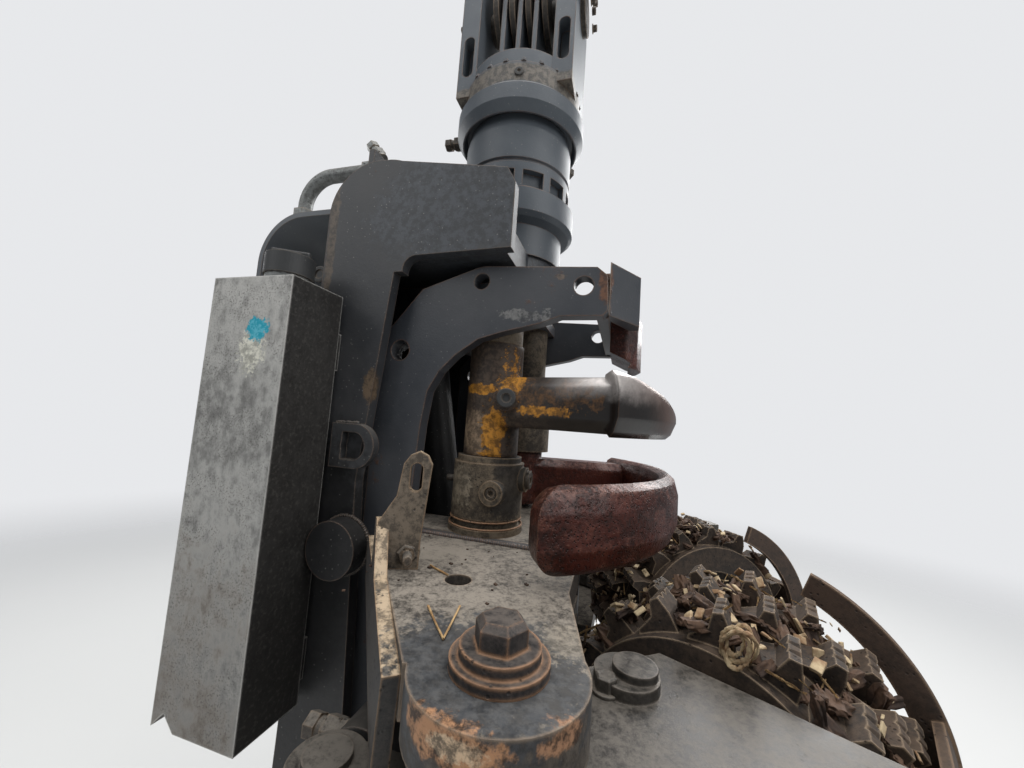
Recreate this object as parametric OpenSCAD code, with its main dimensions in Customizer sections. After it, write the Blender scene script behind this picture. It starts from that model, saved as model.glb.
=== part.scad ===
// Harvester head: felling and processing head of a forestry machine, hung from its rotator.
// Millimetres. The origin is the middle of the crane-tip pin bore in the link's top, +Z is up,
// +X is the open side that takes the stem, and -Y is the near side.

/* [Link and rotator] */
// Bore of the crane-tip pin
tip_bore_d = 50; // [40:1:60]
// Length of the link's top boss
tip_boss_l = 120; // [100:5:140]
// From the crane-tip pin down to the cross pin
cross_drop = 220; // [205:1:250]
// Diameter of the cross pin's bore
cross_bore_d = 60; // [50:1:66]
// Brake plates on the link
brake_n = 4; // [3:1:4]
// Thickness of a brake plate
brake_t = 12; // [8:1:14]
// From the crane-tip pin down to the middle of the rotator's ring
ring_drop = 496; // [486:1:504]
// Diameter of the rotator's ring
ring_d = 264; // [256:1:280]
// Height of the rotator's ring
ring_h = 60; // [54:1:66]
// Diameter of the band above the ring
band_d = 242; // [236:1:250]
// Height of the band above the ring
band_h = 40; // [34:1:46]
// Diameter of the rotator's motor housing
motor_d = 218; // [190:1:226]
// Diameter of the rotator's output flange
flange_d = 242; // [228:1:250]
// Height of the output flange
flange_h = 56; // [44:1:60]
// Windows round the motor housing's foot
window_n = 12; // [10:1:13]

/* [Tilt frame] */
// From the crane-tip pin down to the rotator's seat
seat_drop = 785; // [780:1:800]
// Distance between the outer faces of the side plates
tilt_w = 440; // [434:1:460]
// Thickness of the side plates
tilt_t = 20; // [14:1:22]
// Thickness of the back plate
wrap_t = 16; // [10:1:20]
// Radius of the top back corner
corner_r = 88; // [60:1:100]
// From the rotator's axis back to the side plates' rear edge
tilt_back = 250; // [244:1:262]
// From the crane-tip pin down to the tilt pin
tilt_drop = 1700; // [1690:1:1710]
// From the rotator's axis back to the tilt pin
tilt_pin_back = 190; // [180:1:196]
// Diameter of the tilt pins
tilt_pin_d = 70; // [50:1:76]
// Radius of the legs' lower ends
tilt_end_r = 62; // [56:1:66]

/* [Tank] */
// Width of the tank's near face
tank_w = 145; // [110:1:150]
// Depth of the tank
tank_d = 100; // [80:1:110]
// Height of the tank
tank_h = 620; // [500:10:640]
// Diameter of the filler cap
cap_d = 66; // [50:1:80]

/* [Head frame] */
// Distance between the outer faces of the frame's side plates
frame_w = 362; // [356:1:370]
// Thickness of the frame's side plates
frame_t = 25; // [18:1:28]
// From the crane-tip pin down to the deck's upper face
deck_drop = 1272; // [1270:1:1280]
// Thickness of the decks
deck_t = 40; // [28:1:44]
// Distance of the roller arms' pins from the middle
arm_pin_y = 450; // [444:1:456]
// Distance of the roller arms' pins before the rotator's axis
arm_pin_x = 156; // [152:1:160]
// Radius of the lugs round the roller arms' pins
lug_r = 68; // [62:1:74]
// Diameter of the roller arms' pins
arm_pin_d = 60; // [50:1:66]
// Height of the roller arms between their lugs
arm_h = 205; // [180:1:215]
// Distance of the upper knives' pins from the middle
knife_pin_y = 106; // [102:1:108]
// Diameter of the knives' pins
knife_pin_d = 50; // [40:1:54]
// Diameter of the knives' hubs
hub_d = 92; // [80:1:96]
// Diameter of the knives' bearing sleeves
sleeve_d = 118; // [104:1:122]
// Height of the upper near knife's blade
near_blade_h = 92; // [70:1:98]
// Height of the upper far knife's blade
far_blade_h = 100; // [80:1:102]
// Thickness of the blades
blade_t = 32; // [22:1:36]
// Outer radius of the closed blades
blade_r = 311; // [306:1:316]

/* [Feed rollers] */
// Diameter of a feed roller's drum
drum_d = 280; // [260:1:284]
// Length of a feed roller
roller_w = 206; // [180:1:210]
// Height of the lugs on a feed roller
tooth_h = 34; // [24:1:36]
// Lugs round a feed roller
tooth_n = 16; // [10:1:18]
// Rows of lugs on a feed roller
row_n = 3; // [2:1:4]

/* [Saw] */
// Length of the saw bar beyond its pivot
bar_l = 780; // [600:10:800]
// Width of the saw bar
bar_w = 86; // [70:1:100]
// Thickness of the saw bar
bar_t = 8; // [5:1:10]
// Distance of the saw bar's pivot from the middle
bar_y = 330; // [320:1:340]
// Clear height inside the saw box
box_h = 138; // [120:1:150]

/* [Hidden] */
$fn = 64;
// Running clearance of a pin in its bore, on the radius
run = 0.05;
// Clearance between moving pieces
gap = 6;

// Levels, all below the crane-tip pin
cross_z = -cross_drop;
ring_z = -ring_drop;
seat_z = -seat_drop;
deck_z = -deck_drop;
arm_top_z = deck_z - deck_t - gap;
low_deck_z = arm_top_z - arm_h - gap;
arm_cyl_z = arm_top_z - arm_h / 2;
roller_z = arm_cyl_z - 24;
tilt_z = -tilt_drop;
rear_top_z = low_deck_z - 98;
rear_z = rear_top_z - 60;
box_top_z = low_deck_z - 445;
bar_z = box_top_z - 12 - box_h / 2;

// Pieces that are met more than once
frame_y = frame_w / 2;
tilt_y = tilt_w / 2;
pin_x = 20;
steel = [0.27, 0.28, 0.30];
rust = [0.36, 0.19, 0.15];
worn = [0.40, 0.38, 0.35];

// A plate standing along X and Z, from y0 to y0 + t
module upright(y0, t) {
    translate([0, y0 + t, 0]) rotate([90, 0, 0]) linear_extrude(t) children();
}
// A flat plate from z0 up to z0 + t
module flat(z0, t) {
    translate([0, 0, z0]) linear_extrude(t) children();
}
module rod_x(x0, l, y, z, d) {
    translate([x0, y, z]) rotate([0, 90, 0]) cylinder(h = l, d = d);
}
module rod_y(x, y0, l, z, d) {
    translate([x, y0 + l, z]) rotate([90, 0, 0]) cylinder(h = l, d = d);
}
module rod_y_on(at, l, d) {
    translate([at[0], at[1] + l, at[2]]) rotate([90, 0, 0]) cylinder(h = l, d = d);
}
module rod_z(x, y, z0, l, d) {
    translate([x, y, z0]) cylinder(h = l, d = d);
}
module both_sides() {
    children();
    mirror([0, 1, 0]) children();
}

// Link and rotator

brake_pitch = 34;
ear_in = brake_n * brake_pitch / 2 + 10;
ear_t = 40;
module crane_link() {
    color(steel) difference() {
        union() {
            rod_y(0, -tip_boss_l / 2, tip_boss_l, 0, tip_bore_d + 60);
            translate([-52, -tip_boss_l / 2, cross_z + 95]) cube([104, tip_boss_l, cross_drop - 95]);
            for (i = [0:brake_n - 1])
                translate([(i - (brake_n - 1) / 2) * brake_pitch - brake_t / 2, 0, 0]) {
                    translate([0, -60, cross_z]) cube([brake_t, 120, 130]);
                    rod_x(0, brake_t, 0, cross_z, 150);
                }
        }
        rod_y(0, -tip_boss_l, tip_boss_l * 2, 0, tip_bore_d);
        rod_x(-200, 400, 0, cross_z, cross_bore_d);
        // Pockets in the two flanks
        both_sides() translate([-30, tip_boss_l / 2 - 18, cross_z + 120]) cube([60, 40, 40]);
    }
}
module rotator_yoke() {
    color([0.33, 0.36, 0.40]) difference() {
        union() {
            translate([0, 0, ring_z]) rotate_extrude() polygon([
                [50, -ring_h / 2 + 14], [motor_d / 2 + 2, -ring_h / 2 + 14],
                [motor_d / 2 + 8, -ring_h / 2], [ring_d / 2 - 12, -ring_h / 2],
                [ring_d / 2, -ring_h / 2 + 18], [ring_d / 2, ring_h / 2 - 12],
                [band_d / 2, ring_h / 2], [band_d / 2, ring_h / 2 + band_h],
                [0, ring_h / 2 + band_h], [0, ring_h / 2], [50, ring_h / 2]]);
            // Many-sided collar on the band
            translate([0, 0, ring_z + ring_h / 2 + band_h - 8]) cylinder(h = 42, d = band_d - 16, $fn = 14);
            // Ears on both sides of the brake plates
            for (s = [0, 1]) mirror([s, 0, 0]) {
                rod_x(ear_in, ear_t, 0, cross_z, 164);
                translate([ear_in, -82, ring_z + ring_h / 2 + band_h - 20])
                    cube([ear_t, 164, cross_z - ring_z - ring_h / 2 - band_h + 20]);
            }
            // Plates between the brake plates
            for (i = [0:brake_n - 2])
                translate([(i - (brake_n - 2) / 2) * brake_pitch - 5, 0, 0])
                    translate([0, -64, ring_z + ring_h / 2 + band_h - 20])
                        cube([10, 128, cross_z - ring_z - ring_h / 2 - band_h + 20]);
            for (i = [0:brake_n - 2])
                rod_x((i - (brake_n - 2) / 2) * brake_pitch - 5, 10, 0, cross_z, 128);
        }
        rod_x(-300, 600, 0, cross_z, cross_bore_d);
        // Hollows in the ears' flanks, above the band
        for (s = [0, 1]) mirror([s, 0, 0]) both_sides()
            hull() for (z = [56, 122])
                rod_y_on([ear_in + 20, 52, ring_z + ring_h / 2 + band_h + z - 20], 60, 22);
    }
}
module cross_pin() {
    color(worn) {
        rod_x(-ear_in - ear_t, 2 * (ear_in + ear_t), 0, cross_z, cross_bore_d - 2 * run);
        for (s = [0, 1]) mirror([s, 0, 0]) rod_x(ear_in + ear_t, 10, 0, cross_z, cross_bore_d + 24);
    }
}
motor_top = ring_z - ring_h / 2 + 12;
window_h = 31;
window_w = 40;
neck_h = 65;
module rotator_motor() {
    foot = seat_z + neck_h + flange_h;
    color([0.33, 0.36, 0.40]) difference() {
        rotate_extrude() polygon([
            [0, seat_z], [flange_d / 2 - 22, seat_z], [flange_d / 2 - 22, seat_z + neck_h - 8],
            [flange_d / 2 - 8, seat_z + neck_h], [flange_d / 2, seat_z + neck_h + 8],
            [flange_d / 2, foot - 6], [motor_d / 2, foot], [motor_d / 2, foot + 50],
            [motor_d / 2 - 4, foot + 52], [motor_d / 2 - 4, foot + 56],
            [motor_d / 2, foot + 58], [motor_d / 2, motor_top - 30], [motor_d / 2 - 6, motor_top],
            [50 - run, motor_top], [50 - run, ring_z + ring_h / 2 - 6], [0, ring_z + ring_h / 2 - 6]]);
        for (i = [0:window_n - 1]) rotate([0, 0, (i + 0.1) * 360 / window_n])
            translate([motor_d / 2 - 14, -window_w / 2, foot + 3]) cube([40, window_w, window_h]);
    }
}

// Tilt frame

plate_top_z = -670;
plate_front_x = 67;
leg_x0 = -124;
module tilt_outline() {
    difference() {
        union() {
            polygon([
                [-tilt_back, plate_top_z - corner_r], [-tilt_back + corner_r, plate_top_z],
                [53, -708], [plate_front_x, -733], [plate_front_x, -866], [leg_x0 - 3, -866],
                [leg_x0 - 34, -1200], [-tilt_pin_back + tilt_end_r, tilt_z],
                [-tilt_pin_back - tilt_end_r, tilt_z], [-tilt_back, tilt_z + 130]]);
            translate([-tilt_back + corner_r, plate_top_z - corner_r]) circle(corner_r);
            translate([-tilt_pin_back, tilt_z]) circle(tilt_end_r);
        }
        // The arch that lets the head's top swing out
        hull() {
            translate([leg_x0 + 34, -862]) circle(22);
            translate([plate_front_x + 60, -856]) circle(22);
            translate([leg_x0 + 34, -1000]) circle(22);
            translate([plate_front_x + 60, -1000]) circle(22);
        }
    }
}
// Outer face of the bent corner: level with the back plate and with the side plates' top edge
wrap_r = (pow(corner_r + wrap_t, 2) + pow(corner_r, 2)) / 2 / (corner_r + wrap_t);
module wrap_corner() {
    translate([-tilt_back - wrap_t + wrap_r, plate_top_z - corner_r]) circle(wrap_r);
}
module wrap_outline() {
    difference() {
        wrap_corner();
        translate([-tilt_back + corner_r, plate_top_z - corner_r]) circle(corner_r - 6);
        translate([-tilt_back + corner_r, -2000]) square([400, 2000]);
        translate([-600, -2000]) square([600, 2000 + plate_top_z - corner_r]);
    }
    translate([-tilt_back - wrap_t, tilt_z + 150])
        square([wrap_t, plate_top_z - corner_r - tilt_z - 150]);
}
tilt_cyl_x = -tilt_pin_back + 5;
tilt_cyl_z = tilt_z + 795;
cyl_pin_d = 40;
stop_x = -165;
module tilt_frame() {
    color(steel) difference() {
        union() {
            both_sides() {
                upright(-tilt_y, tilt_t) tilt_outline();
                // Ears that hold the tilt cylinder's barrel
                upright(-62, 22) {
                    translate([tilt_cyl_x, tilt_cyl_z]) circle(38);
                    translate([tilt_cyl_x - 38, tilt_cyl_z]) square([76, seat_z - 50 - tilt_cyl_z]);
                }
            }
            upright(-tilt_y, tilt_w) wrap_outline();
            // Seat under the rotator
            translate([-tilt_back, -tilt_y + tilt_t, seat_z - 50])
                cube([tilt_back + plate_front_x - 12, tilt_w - 2 * tilt_t, 50]);
            translate([0, 0, seat_z - 50]) cylinder(h = 50, d = 186);
            // Bulkhead for the pipe
            translate([bulkhead_x, pipe_y - 30, plate_top_z - 30]) cube([12, 60, 96]);
            hose_loops();
            // Round stops on the legs
            both_sides() rod_y(stop_x, -tilt_y - 34, 40, deck_z - 24, 84);
            // Cross tube near the legs' feet
            translate([-tilt_back, -tilt_y + tilt_t, tilt_z + 170])
                cube([30, tilt_w - 2 * tilt_t, 110]);
        }
        rod_y(-tilt_pin_back, -tilt_w, 2 * tilt_w, tilt_z, tilt_pin_d);
        rod_y(tilt_cyl_x, -100, 200, tilt_cyl_z, cyl_pin_d);
    }
}
module tilt_pins() {
    color(worn) {
        both_sides() {
            rod_y(-tilt_pin_back, -tilt_y - 2, tilt_y - frame_y + frame_t + 6, tilt_z,
                tilt_pin_d - 2 * run);
            rod_y(-tilt_pin_back, -tilt_y - 14, 14, tilt_z, tilt_pin_d + 26);
        }
        rod_y(tilt_cyl_x, -66, 132, tilt_cyl_z, cyl_pin_d - 2 * run);
    }
}

// Tank and hose cover behind the tilt frame

tank_x = -tilt_back + 40;
tank_y = -tilt_y - 10;
tank_top = -910;
module oil_tank() {
    color([0.62, 0.62, 0.60]) {
        difference() {
            translate([tank_x - tank_w, tank_y - tank_d, tank_top - tank_h]) cube([tank_w, tank_d, tank_h]);
            // The bottom is bent up at the outer corner
            translate([tank_x - tank_w - 1, tank_y - tank_d - 1, tank_top - tank_h - 1])
                rotate([0, 45, 0]) cube([30, tank_d + 2, 30]);
        }
        // Brackets to the side plate
        for (z = [tank_top - 90, tank_top - tank_h + 60])
            translate([tank_x - 40, tank_y, z - 30]) cube([36, 10, 60]);
    }
}
module tank_cap() {
    color([0.20, 0.20, 0.21]) translate([tank_x - 62, tank_y - tank_d / 2, tank_top]) {
        cylinder(h = 14, d = cap_d - 20);
        translate([0, 0, 14]) linear_extrude(34) union() {
            circle(cap_d / 2 - 3);
            for (i = [0:15]) rotate(i * 22.5) translate([cap_d / 2 - 3, 0]) circle(4, $fn = 16);
        }
    }
}
cover_w = 380;
cover_r = 92;
module hose_cover() {
    x1 = -tilt_back - wrap_t;
    color([0.30, 0.33, 0.37]) upright(-cover_w / 2, cover_w) difference() {
        union() {
            translate([x1 - cover_r, -820]) circle(cover_r);
            translate([x1 - 2 * cover_r, -1080]) square([2 * cover_r, 260]);
            translate([x1 - cover_r, -820]) square([cover_r + 10, cover_r]);
        }
        translate([x1 - cover_r, -820]) circle(cover_r - 10);
        translate([x1 - 2 * cover_r + 10, -1090]) square([2 * cover_r + 20, 270]);
        translate([x1 - cover_r, -820]) square([cover_r + 30, cover_r - 10]);
        wrap_corner();
    }
}
pipe_d = 27;
pipe_y = -140;
pipe_run = 79;
bulkhead_x = -tilt_back + 10;
module elbow_pipe() {
    x1 = bulkhead_x - 26 - pipe_run - 60;
    color([0.45, 0.46, 0.48]) translate([x1, pipe_y, -730]) {
        cylinder(h = 34, d = pipe_d + 14, $fn = 6);
        translate([0, 0, 34]) cylinder(h = 10, d = pipe_d);
        translate([60, 0, 44]) rotate([90, 0, 180]) rotate_extrude(angle = 90)
            translate([60, 0]) circle(d = pipe_d);
        translate([60, 0, 104]) rotate([0, 90, 0]) cylinder(h = pipe_run, d = pipe_d);
        translate([60 + pipe_run, 0, 104]) rotate([0, 90, 0]) cylinder(h = 26, d = pipe_d + 12, $fn = 6);
    }
}
module hose_loops() {
    both_sides() translate([leg_x0 - 42, -tilt_y, -1146]) difference() {
        union() {
            translate([-34, -14, -34]) cube([44, 14, 68]);
            translate([10, 0, 0]) rotate([90, 0, 0]) cylinder(h = 14, d = 68);
        }
        translate([6, 1, 0]) rotate([90, 0, 0]) cylinder(h = 16, d = 42);
        translate([-14, -15, -21]) cube([20, 16, 42]);
    }
}

// Cylinders

module barrel(l, d, eye_d, eye_w, bore) {
    // Eye at the origin, the rod's end towards +Z
    neck = eye_d / 2 + 14;
    difference() {
        union() {
            translate([0, 0, neck]) cylinder(h = l - neck, d = d);
            translate([-eye_d * 0.36, -eye_w / 2, 0]) cube([eye_d * 0.72, eye_w, neck]);
            rod_y(0, -eye_w / 2, eye_w, 0, eye_d);
            translate([0, 0, l]) cylinder(h = 16, d = d - 12);
        }
        rod_y(0, -eye_w, 2 * eye_w, 0, bore);
        translate([0, 0, eye_d / 2 + 20]) cylinder(h = l, d = rod_bore(d));
    }
}
function rod_bore(d) = d * 0.55;
module rod(l, d, eye_d, eye_w, bore) {
    // Eye at the origin, the barrel towards -Z
    difference() {
        union() {
            translate([0, 0, -l]) cylinder(h = l - eye_d / 2 + 6, d = rod_bore(d) - 1);
            rod_y(0, -eye_w / 2, eye_w, 0, eye_d);
        }
        rod_y(0, -eye_w, 2 * eye_w, 0, bore);
    }
}

// Head frame

deck_back = -165;
sides_front_x = 156;
foot_front_x = 208;
rod_pin_x = -tilt_pin_back + 130;
rod_pin_z = tilt_z + 150;
arch_top_z = -847;
module side_outline() {
    difference() {
        union() {
            // Arch over the upper knives
            polygon([
                [15, arch_top_z], [191, arch_top_z - 9], [206, arch_top_z - 22], [209, arch_top_z - 75],
                [202, arch_top_z - 83], [139, arch_top_z - 83], [109, arch_top_z - 94],
                [48, arch_top_z - 108], [11, arch_top_z - 119], [-26, arch_top_z - 145],
                [-52, arch_top_z - 172], [-70, arch_top_z - 205], [-77, arch_top_z - 259],
                [-85, deck_z - 10], [deck_back, deck_z - 10], [deck_back, arch_top_z - 120],
                [-95, arch_top_z - 35], [-57, arch_top_z - 22], [1, arch_top_z - 2]]);
            // Body between the decks and down to the saw box
            polygon([
                [deck_back, deck_z], [sides_front_x, deck_z], [sides_front_x, low_deck_z - deck_t - 20],
                [foot_front_x, low_deck_z - deck_t - 80], [foot_front_x, box_top_z],
                [-110, box_top_z], [-110, tilt_z - 90], [-tilt_pin_back - 30, tilt_z - 48],
                [-tilt_pin_back - 30, tilt_z + 48], [deck_back, tilt_z + 130]]);
            translate([-tilt_pin_back, tilt_z]) circle(58);
            translate([inner_x, inner_z]) circle(38);
        }
        // Windows for the cylinders that cross the head
        hull() {
            translate([arm_crank_x - 4, arm_cyl_z]) circle(52);
            translate([sides_front_x - 64, arm_cyl_z]) circle(52);
        }
        hull() {
            translate([rear_crank_x - 10, rear_z]) circle(46);
            translate([rear_pin_x - 4, rear_z]) circle(46);
        }
        translate([10, arch_top_z - 19 - 6]) circle(d = 26);
        translate([172, arch_top_z - 37]) circle(d = 29);
        translate([-127, arch_top_z - 139]) circle(d = 34);
        translate([inner_x, inner_z]) circle(d = 40);
    }
}
module frame_sides() {
    color([0.30, 0.30, 0.31]) both_sides() difference() {
        union() {
            upright(-frame_y, frame_t) side_outline();
            rod_y(-tilt_pin_back, -tilt_y + tilt_t + 5, tilt_y - tilt_t - 5 - frame_y + 1, tilt_z, 108);
        }
        rod_y(-tilt_pin_back, -tilt_w, 2 * tilt_w, tilt_z, tilt_pin_d);
    }
}
// The part of a deck outside the frame's side plates, out to the lug
module wing_outline() {
    difference() {
        union() {
            polygon([
                [-104, -frame_y], guard_a, guard_b, [arm_pin_x, -arm_pin_y],
                [arm_pin_x + lug_r, -arm_pin_y], [188, -frame_y - 120], [sides_front_x + 30, -frame_y]]);
            translate([arm_pin_x, -arm_pin_y]) circle(lug_r);
        }
        translate([arm_pin_x, -arm_pin_y]) circle(d = arm_pin_d);
    }
}
slot_x = -10;
ear_y = 62;
slot_y = ear_y + 10;
module deck(z) {
    difference() {
        flat(z - deck_t, deck_t) union() {
            both_sides() wing_outline();
            difference() {
                translate([deck_back, -in_y]) square([sides_front_x - deck_back, 2 * in_y]);
                translate([deck_back - 1, -slot_y]) square([slot_x - deck_back + 1, 2 * slot_y]);
            }
        }
        children();
    }
}
module upper_deck() {
    color(worn) deck(deck_z) {
        both_sides() rod_z(pin_x, -knife_pin_y, deck_z - deck_t - 1, deck_t + 2, knife_pin_d);
        both_sides() rod_z(66, -frame_y - 140, deck_z - deck_t - 1, deck_t + 2, 30);
    }
}
module lower_deck() {
    color(steel) deck(low_deck_z) both_sides()
        rod_z(66, -frame_y - 140, low_deck_z - deck_t - 1, deck_t + 2, 30);
}
in_y = frame_y - frame_t;
module cross_plates() {
    color(steel) difference() {
        union() {
            // Top plate that carries the knives' pins
            translate([-60, -in_y, arch_top_z - 40]) cube([130, 2 * in_y, 22]);
            translate([-90, -in_y, arch_top_z - 110]) cube([30, 2 * in_y, 92]);
            // Behind the deck's lower half
            translate([-20, -in_y, low_deck_z - deck_t - 70]) cube([20, 2 * in_y, 70]);
            translate([sides_front_x - 100, -in_y, box_top_z]) cube([22, 2 * in_y, 150]);
            // Ears for the tilt cylinder's rod
            both_sides() upright(-ear_y, 24) {
                translate([rod_pin_x, rod_pin_z]) circle(38);
                translate([rod_pin_x, low_deck_z - deck_t - 70]) square([slot_x - rod_pin_x, 115]);
            }
            // Heads of the pin, which stops at the two inner faces
            both_sides() rod_y(rod_pin_x, -ear_y - 8, 8, rod_pin_z, 54);
        }
        both_sides() rod_z(pin_x, -knife_pin_y, arch_top_z - 60, 80, knife_pin_d);
    }
}
module stem_plates() {
    color(worn) {
        // Contact plate behind the rollers
        translate([sides_front_x - 16, -in_y, low_deck_z]) cube([16, 2 * in_y, 70]);
        translate([sides_front_x - 16, -in_y, deck_z - deck_t - 60]) cube([16, 2 * in_y, 60]);
        // Shoe below the inner roller, with the measuring wheel's slot
        difference() {
            translate([foot_front_x, -in_y - 10, box_top_z]) cube([20, 2 * in_y + 20, 220]);
            translate([foot_front_x - 1, -26, box_top_z + 90]) cube([22, 52, 150]);
        }
        // Ears that hold the measuring wheel's arm
        both_sides() difference() {
            translate([foot_front_x - 90, 30, box_top_z + 20]) cube([90, 16, 220]);
            rod_y(wheel_arm_x, 20, 40, wheel_arm_z, wheel_arm_d);
        }
    }
}
nose_x = 209;
module arch_nose() {
    color(steel) {
        translate([nose_x - 18, -in_y, arch_top_z - 80]) cube([18, 2 * in_y, 70]);
        both_sides() translate([nose_x, -in_y - 10, arch_top_z - 78])
            linear_extrude(82) polygon([[0, 0], [46, 70], [46, 96], [30, 96], [0, 34]]);
    }
}
module fixed_knife() {
    color(rust) difference() {
        translate([nose_x, 0, arch_top_z - 140]) linear_extrude(92) polygon([
            [0, -66], [28, -66], [46, -40], [54, 0], [46, 40], [28, 66], [0, 66]]);
        translate([nose_x - 63, -100, arch_top_z - 150]) rotate([0, 26, 0]) cube([80, 200, 60]);
    }
}
hub_top = arch_top_z - 117;
near_hub_z = deck_z + 122;
far_hub_z = deck_z + 10;
far_hub_h = far_blade_h + 8;
module knife_sleeves() {
    color(worn) {
        // Bearing under the near hub, with its seal rings
        difference() {
            union() {
                rod_z(pin_x, -knife_pin_y, deck_z, near_hub_z - 1 - deck_z, sleeve_d - 10);
                rod_z(pin_x, -knife_pin_y, deck_z + 24, near_hub_z - 1 - deck_z - 34, sleeve_d);
                rod_z(pin_x, -knife_pin_y, deck_z, 10, sleeve_d + 6);
                rod_y(pin_x + 26, -knife_pin_y - sleeve_d / 2 - 4, 24, deck_z + 68, 38);
                rod_x(pin_x + sleeve_d / 2 - 12, 20, -knife_pin_y, deck_z + 86, 40);
            }
            rod_z(pin_x, -knife_pin_y, deck_z - 1, 300, knife_pin_d);
            rod_y(pin_x + 26, -knife_pin_y - sleeve_d, sleeve_d / 2 + 6, deck_z + 68, 20);
        }
        // Bearing over the far hub
        difference() {
            union() {
                rod_z(pin_x, knife_pin_y, far_hub_z + far_hub_h + 1,
                    arch_top_z - 40 - far_hub_z - far_hub_h - 1, hub_d - 6);
                rod_z(pin_x, knife_pin_y, far_hub_z + far_hub_h + 1, 134, sleeve_d);
            }
            rod_z(pin_x, knife_pin_y, far_hub_z, 600, knife_pin_d);
        }
        // Short bush over the near hub
        difference() {
            rod_z(pin_x, -knife_pin_y, hub_top + 1, arch_top_z - 40 - hub_top - 1, hub_d - 6);
            rod_z(pin_x, -knife_pin_y, hub_top, 200, knife_pin_d);
        }
    }
}
module head_pins() {
    color(rust) {
        both_sides() {
            rod_z(pin_x, -knife_pin_y, deck_z - deck_t - 4, arch_top_z - 14 - deck_z + deck_t + 4,
                knife_pin_d - 2 * run);
            rod_z(pin_x, -knife_pin_y, arch_top_z - 18, 8, knife_pin_d + 20);
            rod_z(arm_pin_x, -arm_pin_y, low_deck_z - deck_t - 6, deck_z - low_deck_z + deck_t + 6,
                arm_pin_d - 2 * run);
            rod_z(arm_pin_x, -arm_pin_y, low_deck_z - deck_t - 18, 18, 92);
        }
        // The near pin has a bolt and washers, the far one a flat cap under its knife
        rod_z(arm_pin_x, -arm_pin_y, deck_z, 8, 76);
        rod_z(arm_pin_x, -arm_pin_y, deck_z + 8, 8, 62);
        translate([arm_pin_x, -arm_pin_y, deck_z + 16]) {
            cylinder(h = 14, d = 42, $fn = 6);
            translate([0, 0, 14]) cylinder(h = 5, d1 = 42, d2 = 32, $fn = 6);
        }
        rod_z(arm_pin_x, arm_pin_y, deck_z, 6, 92);
    }
}
guard_a = [-104, -frame_y - 44];
guard_b = [arm_pin_x - lug_r * 0.98, -arm_pin_y - lug_r * 0.36];
guard_t = 14;
guard_l = norm(guard_b - guard_a);
guard_turn = atan2(guard_b[1] - guard_a[1], guard_b[0] - guard_a[0]);
module guard_place() {
    translate([guard_a[0], guard_a[1], 0]) rotate([0, 0, guard_turn]) rotate([90, 0, 0])
        linear_extrude(guard_t) children();
}
tab_s = 122;
module guard_plates() {
    color(rust) {
        // Plate along the deck's rear edge, high at the tab and deep at the lug
        guard_place() polygon([
            [0, deck_z], [tab_s - 12, deck_z], [tab_s - 12, deck_z + 54], [tab_s + 4, deck_z + 56],
            [tab_s + 44, deck_z + 2], [guard_l, deck_z - 8], [guard_l - 16, deck_z - deck_t - 48],
            [guard_l - 70, deck_z - deck_t - 40], [30, deck_z - deck_t - 10], [0, deck_z - deck_t]]);
        // Tab that stands across the deck, with a slot in its raised end
        translate([guard_a[0], guard_a[1], 0]) rotate([0, 0, guard_turn]) translate([tab_s, 0, 0])
            rotate([0, 0, 77]) rotate([90, 0, 0]) linear_extrude(12) difference() {
                polygon([
                    [-10, deck_z + 54], [8, deck_z + 84], [13, deck_z + 122], [20, deck_z + 132],
                    [31, deck_z + 137], [41, deck_z + 132], [47, deck_z + 121], [40, deck_z + 31],
                    [40, deck_z], [-10, deck_z]]);
                hull() for (z = [96, 116]) translate([29, deck_z + z]) circle(7, $fn = 24);
            }
        mirror([0, 1, 0]) guard_place()
            polygon([[20, deck_z], [guard_l, deck_z], [guard_l, deck_z - deck_t], [0, deck_z - deck_t]]);
    }
}

// Knives

// A blade swept round the closed stem. Its path gives the middle in x and y, the outer radius,
// the angle of the tip, the radii of the tip's upper and lower corners and the root's spread
blade_start = -46;
near_path = [14, 10, blade_r, 9, 20, 10, 12];
far_path = [-5, 41, blade_r + 19, 61, 38, 34, 12];
rear_path = [14, 10, blade_r, 64, 36, 6, 4];
function on_blade(pin, path, turn, inset) = [
    path[0] - pin[0] + (path[2] - inset) * cos(blade_start + turn),
    path[1] - pin[1] + (path[2] - inset) * sin(blade_start + turn)];
module blade(h, pin, path) {
    r = path[2];
    difference() {
        translate([path[0] - pin[0], path[1] - pin[1], 0]) rotate([0, 0, blade_start])
            rotate_extrude(angle = path[3] - blade_start, $fn = 96) polygon([
                [r - blade_t, h * 0.16], [r - blade_t * 0.5, 0], [r - 8, h * 0.08],
                [r, h * 0.3], [r, h * 0.7], [r - 6, h * 0.92],
                [r - blade_t * 0.5, h], [r - blade_t * 0.9, h * 0.94], [r - blade_t, h * 0.8]]);
        // Rounded corners of the tip
        translate([path[0] - pin[0], path[1] - pin[1], 0]) rotate([0, 0, path[3]])
            translate([r - 60, 0, 0]) rotate([90, 0, 90]) linear_extrude(90) {
                difference() {
                    translate([-path[4], h - path[4]]) square(path[4] + 20);
                    translate([-path[4], h - path[4]]) circle(path[4]);
                }
                difference() {
                    translate([-path[5], -20]) square(path[5] + 20);
                    translate([-path[5], path[5]]) circle(path[5]);
                }
            }
    }
    // Root from the hub to the blade, with bevelled corners
    hull() {
        translate([0, 0, h * 0.24]) linear_extrude(h * 0.52) root_outline(pin, path);
        translate([0, 0, h * 0.04]) linear_extrude(h * 0.86) offset(delta = -9) root_outline(pin, path);
    }
}
module root_outline(pin, path) {
    polygon([
        [0, -hub_d / 2 + 3], on_blade(pin, path, 1.5, 3), on_blade(pin, path, path[6], 9),
        [hub_d / 2 - 6, 18], [0, hub_d / 2 - 10]]);
}
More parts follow.
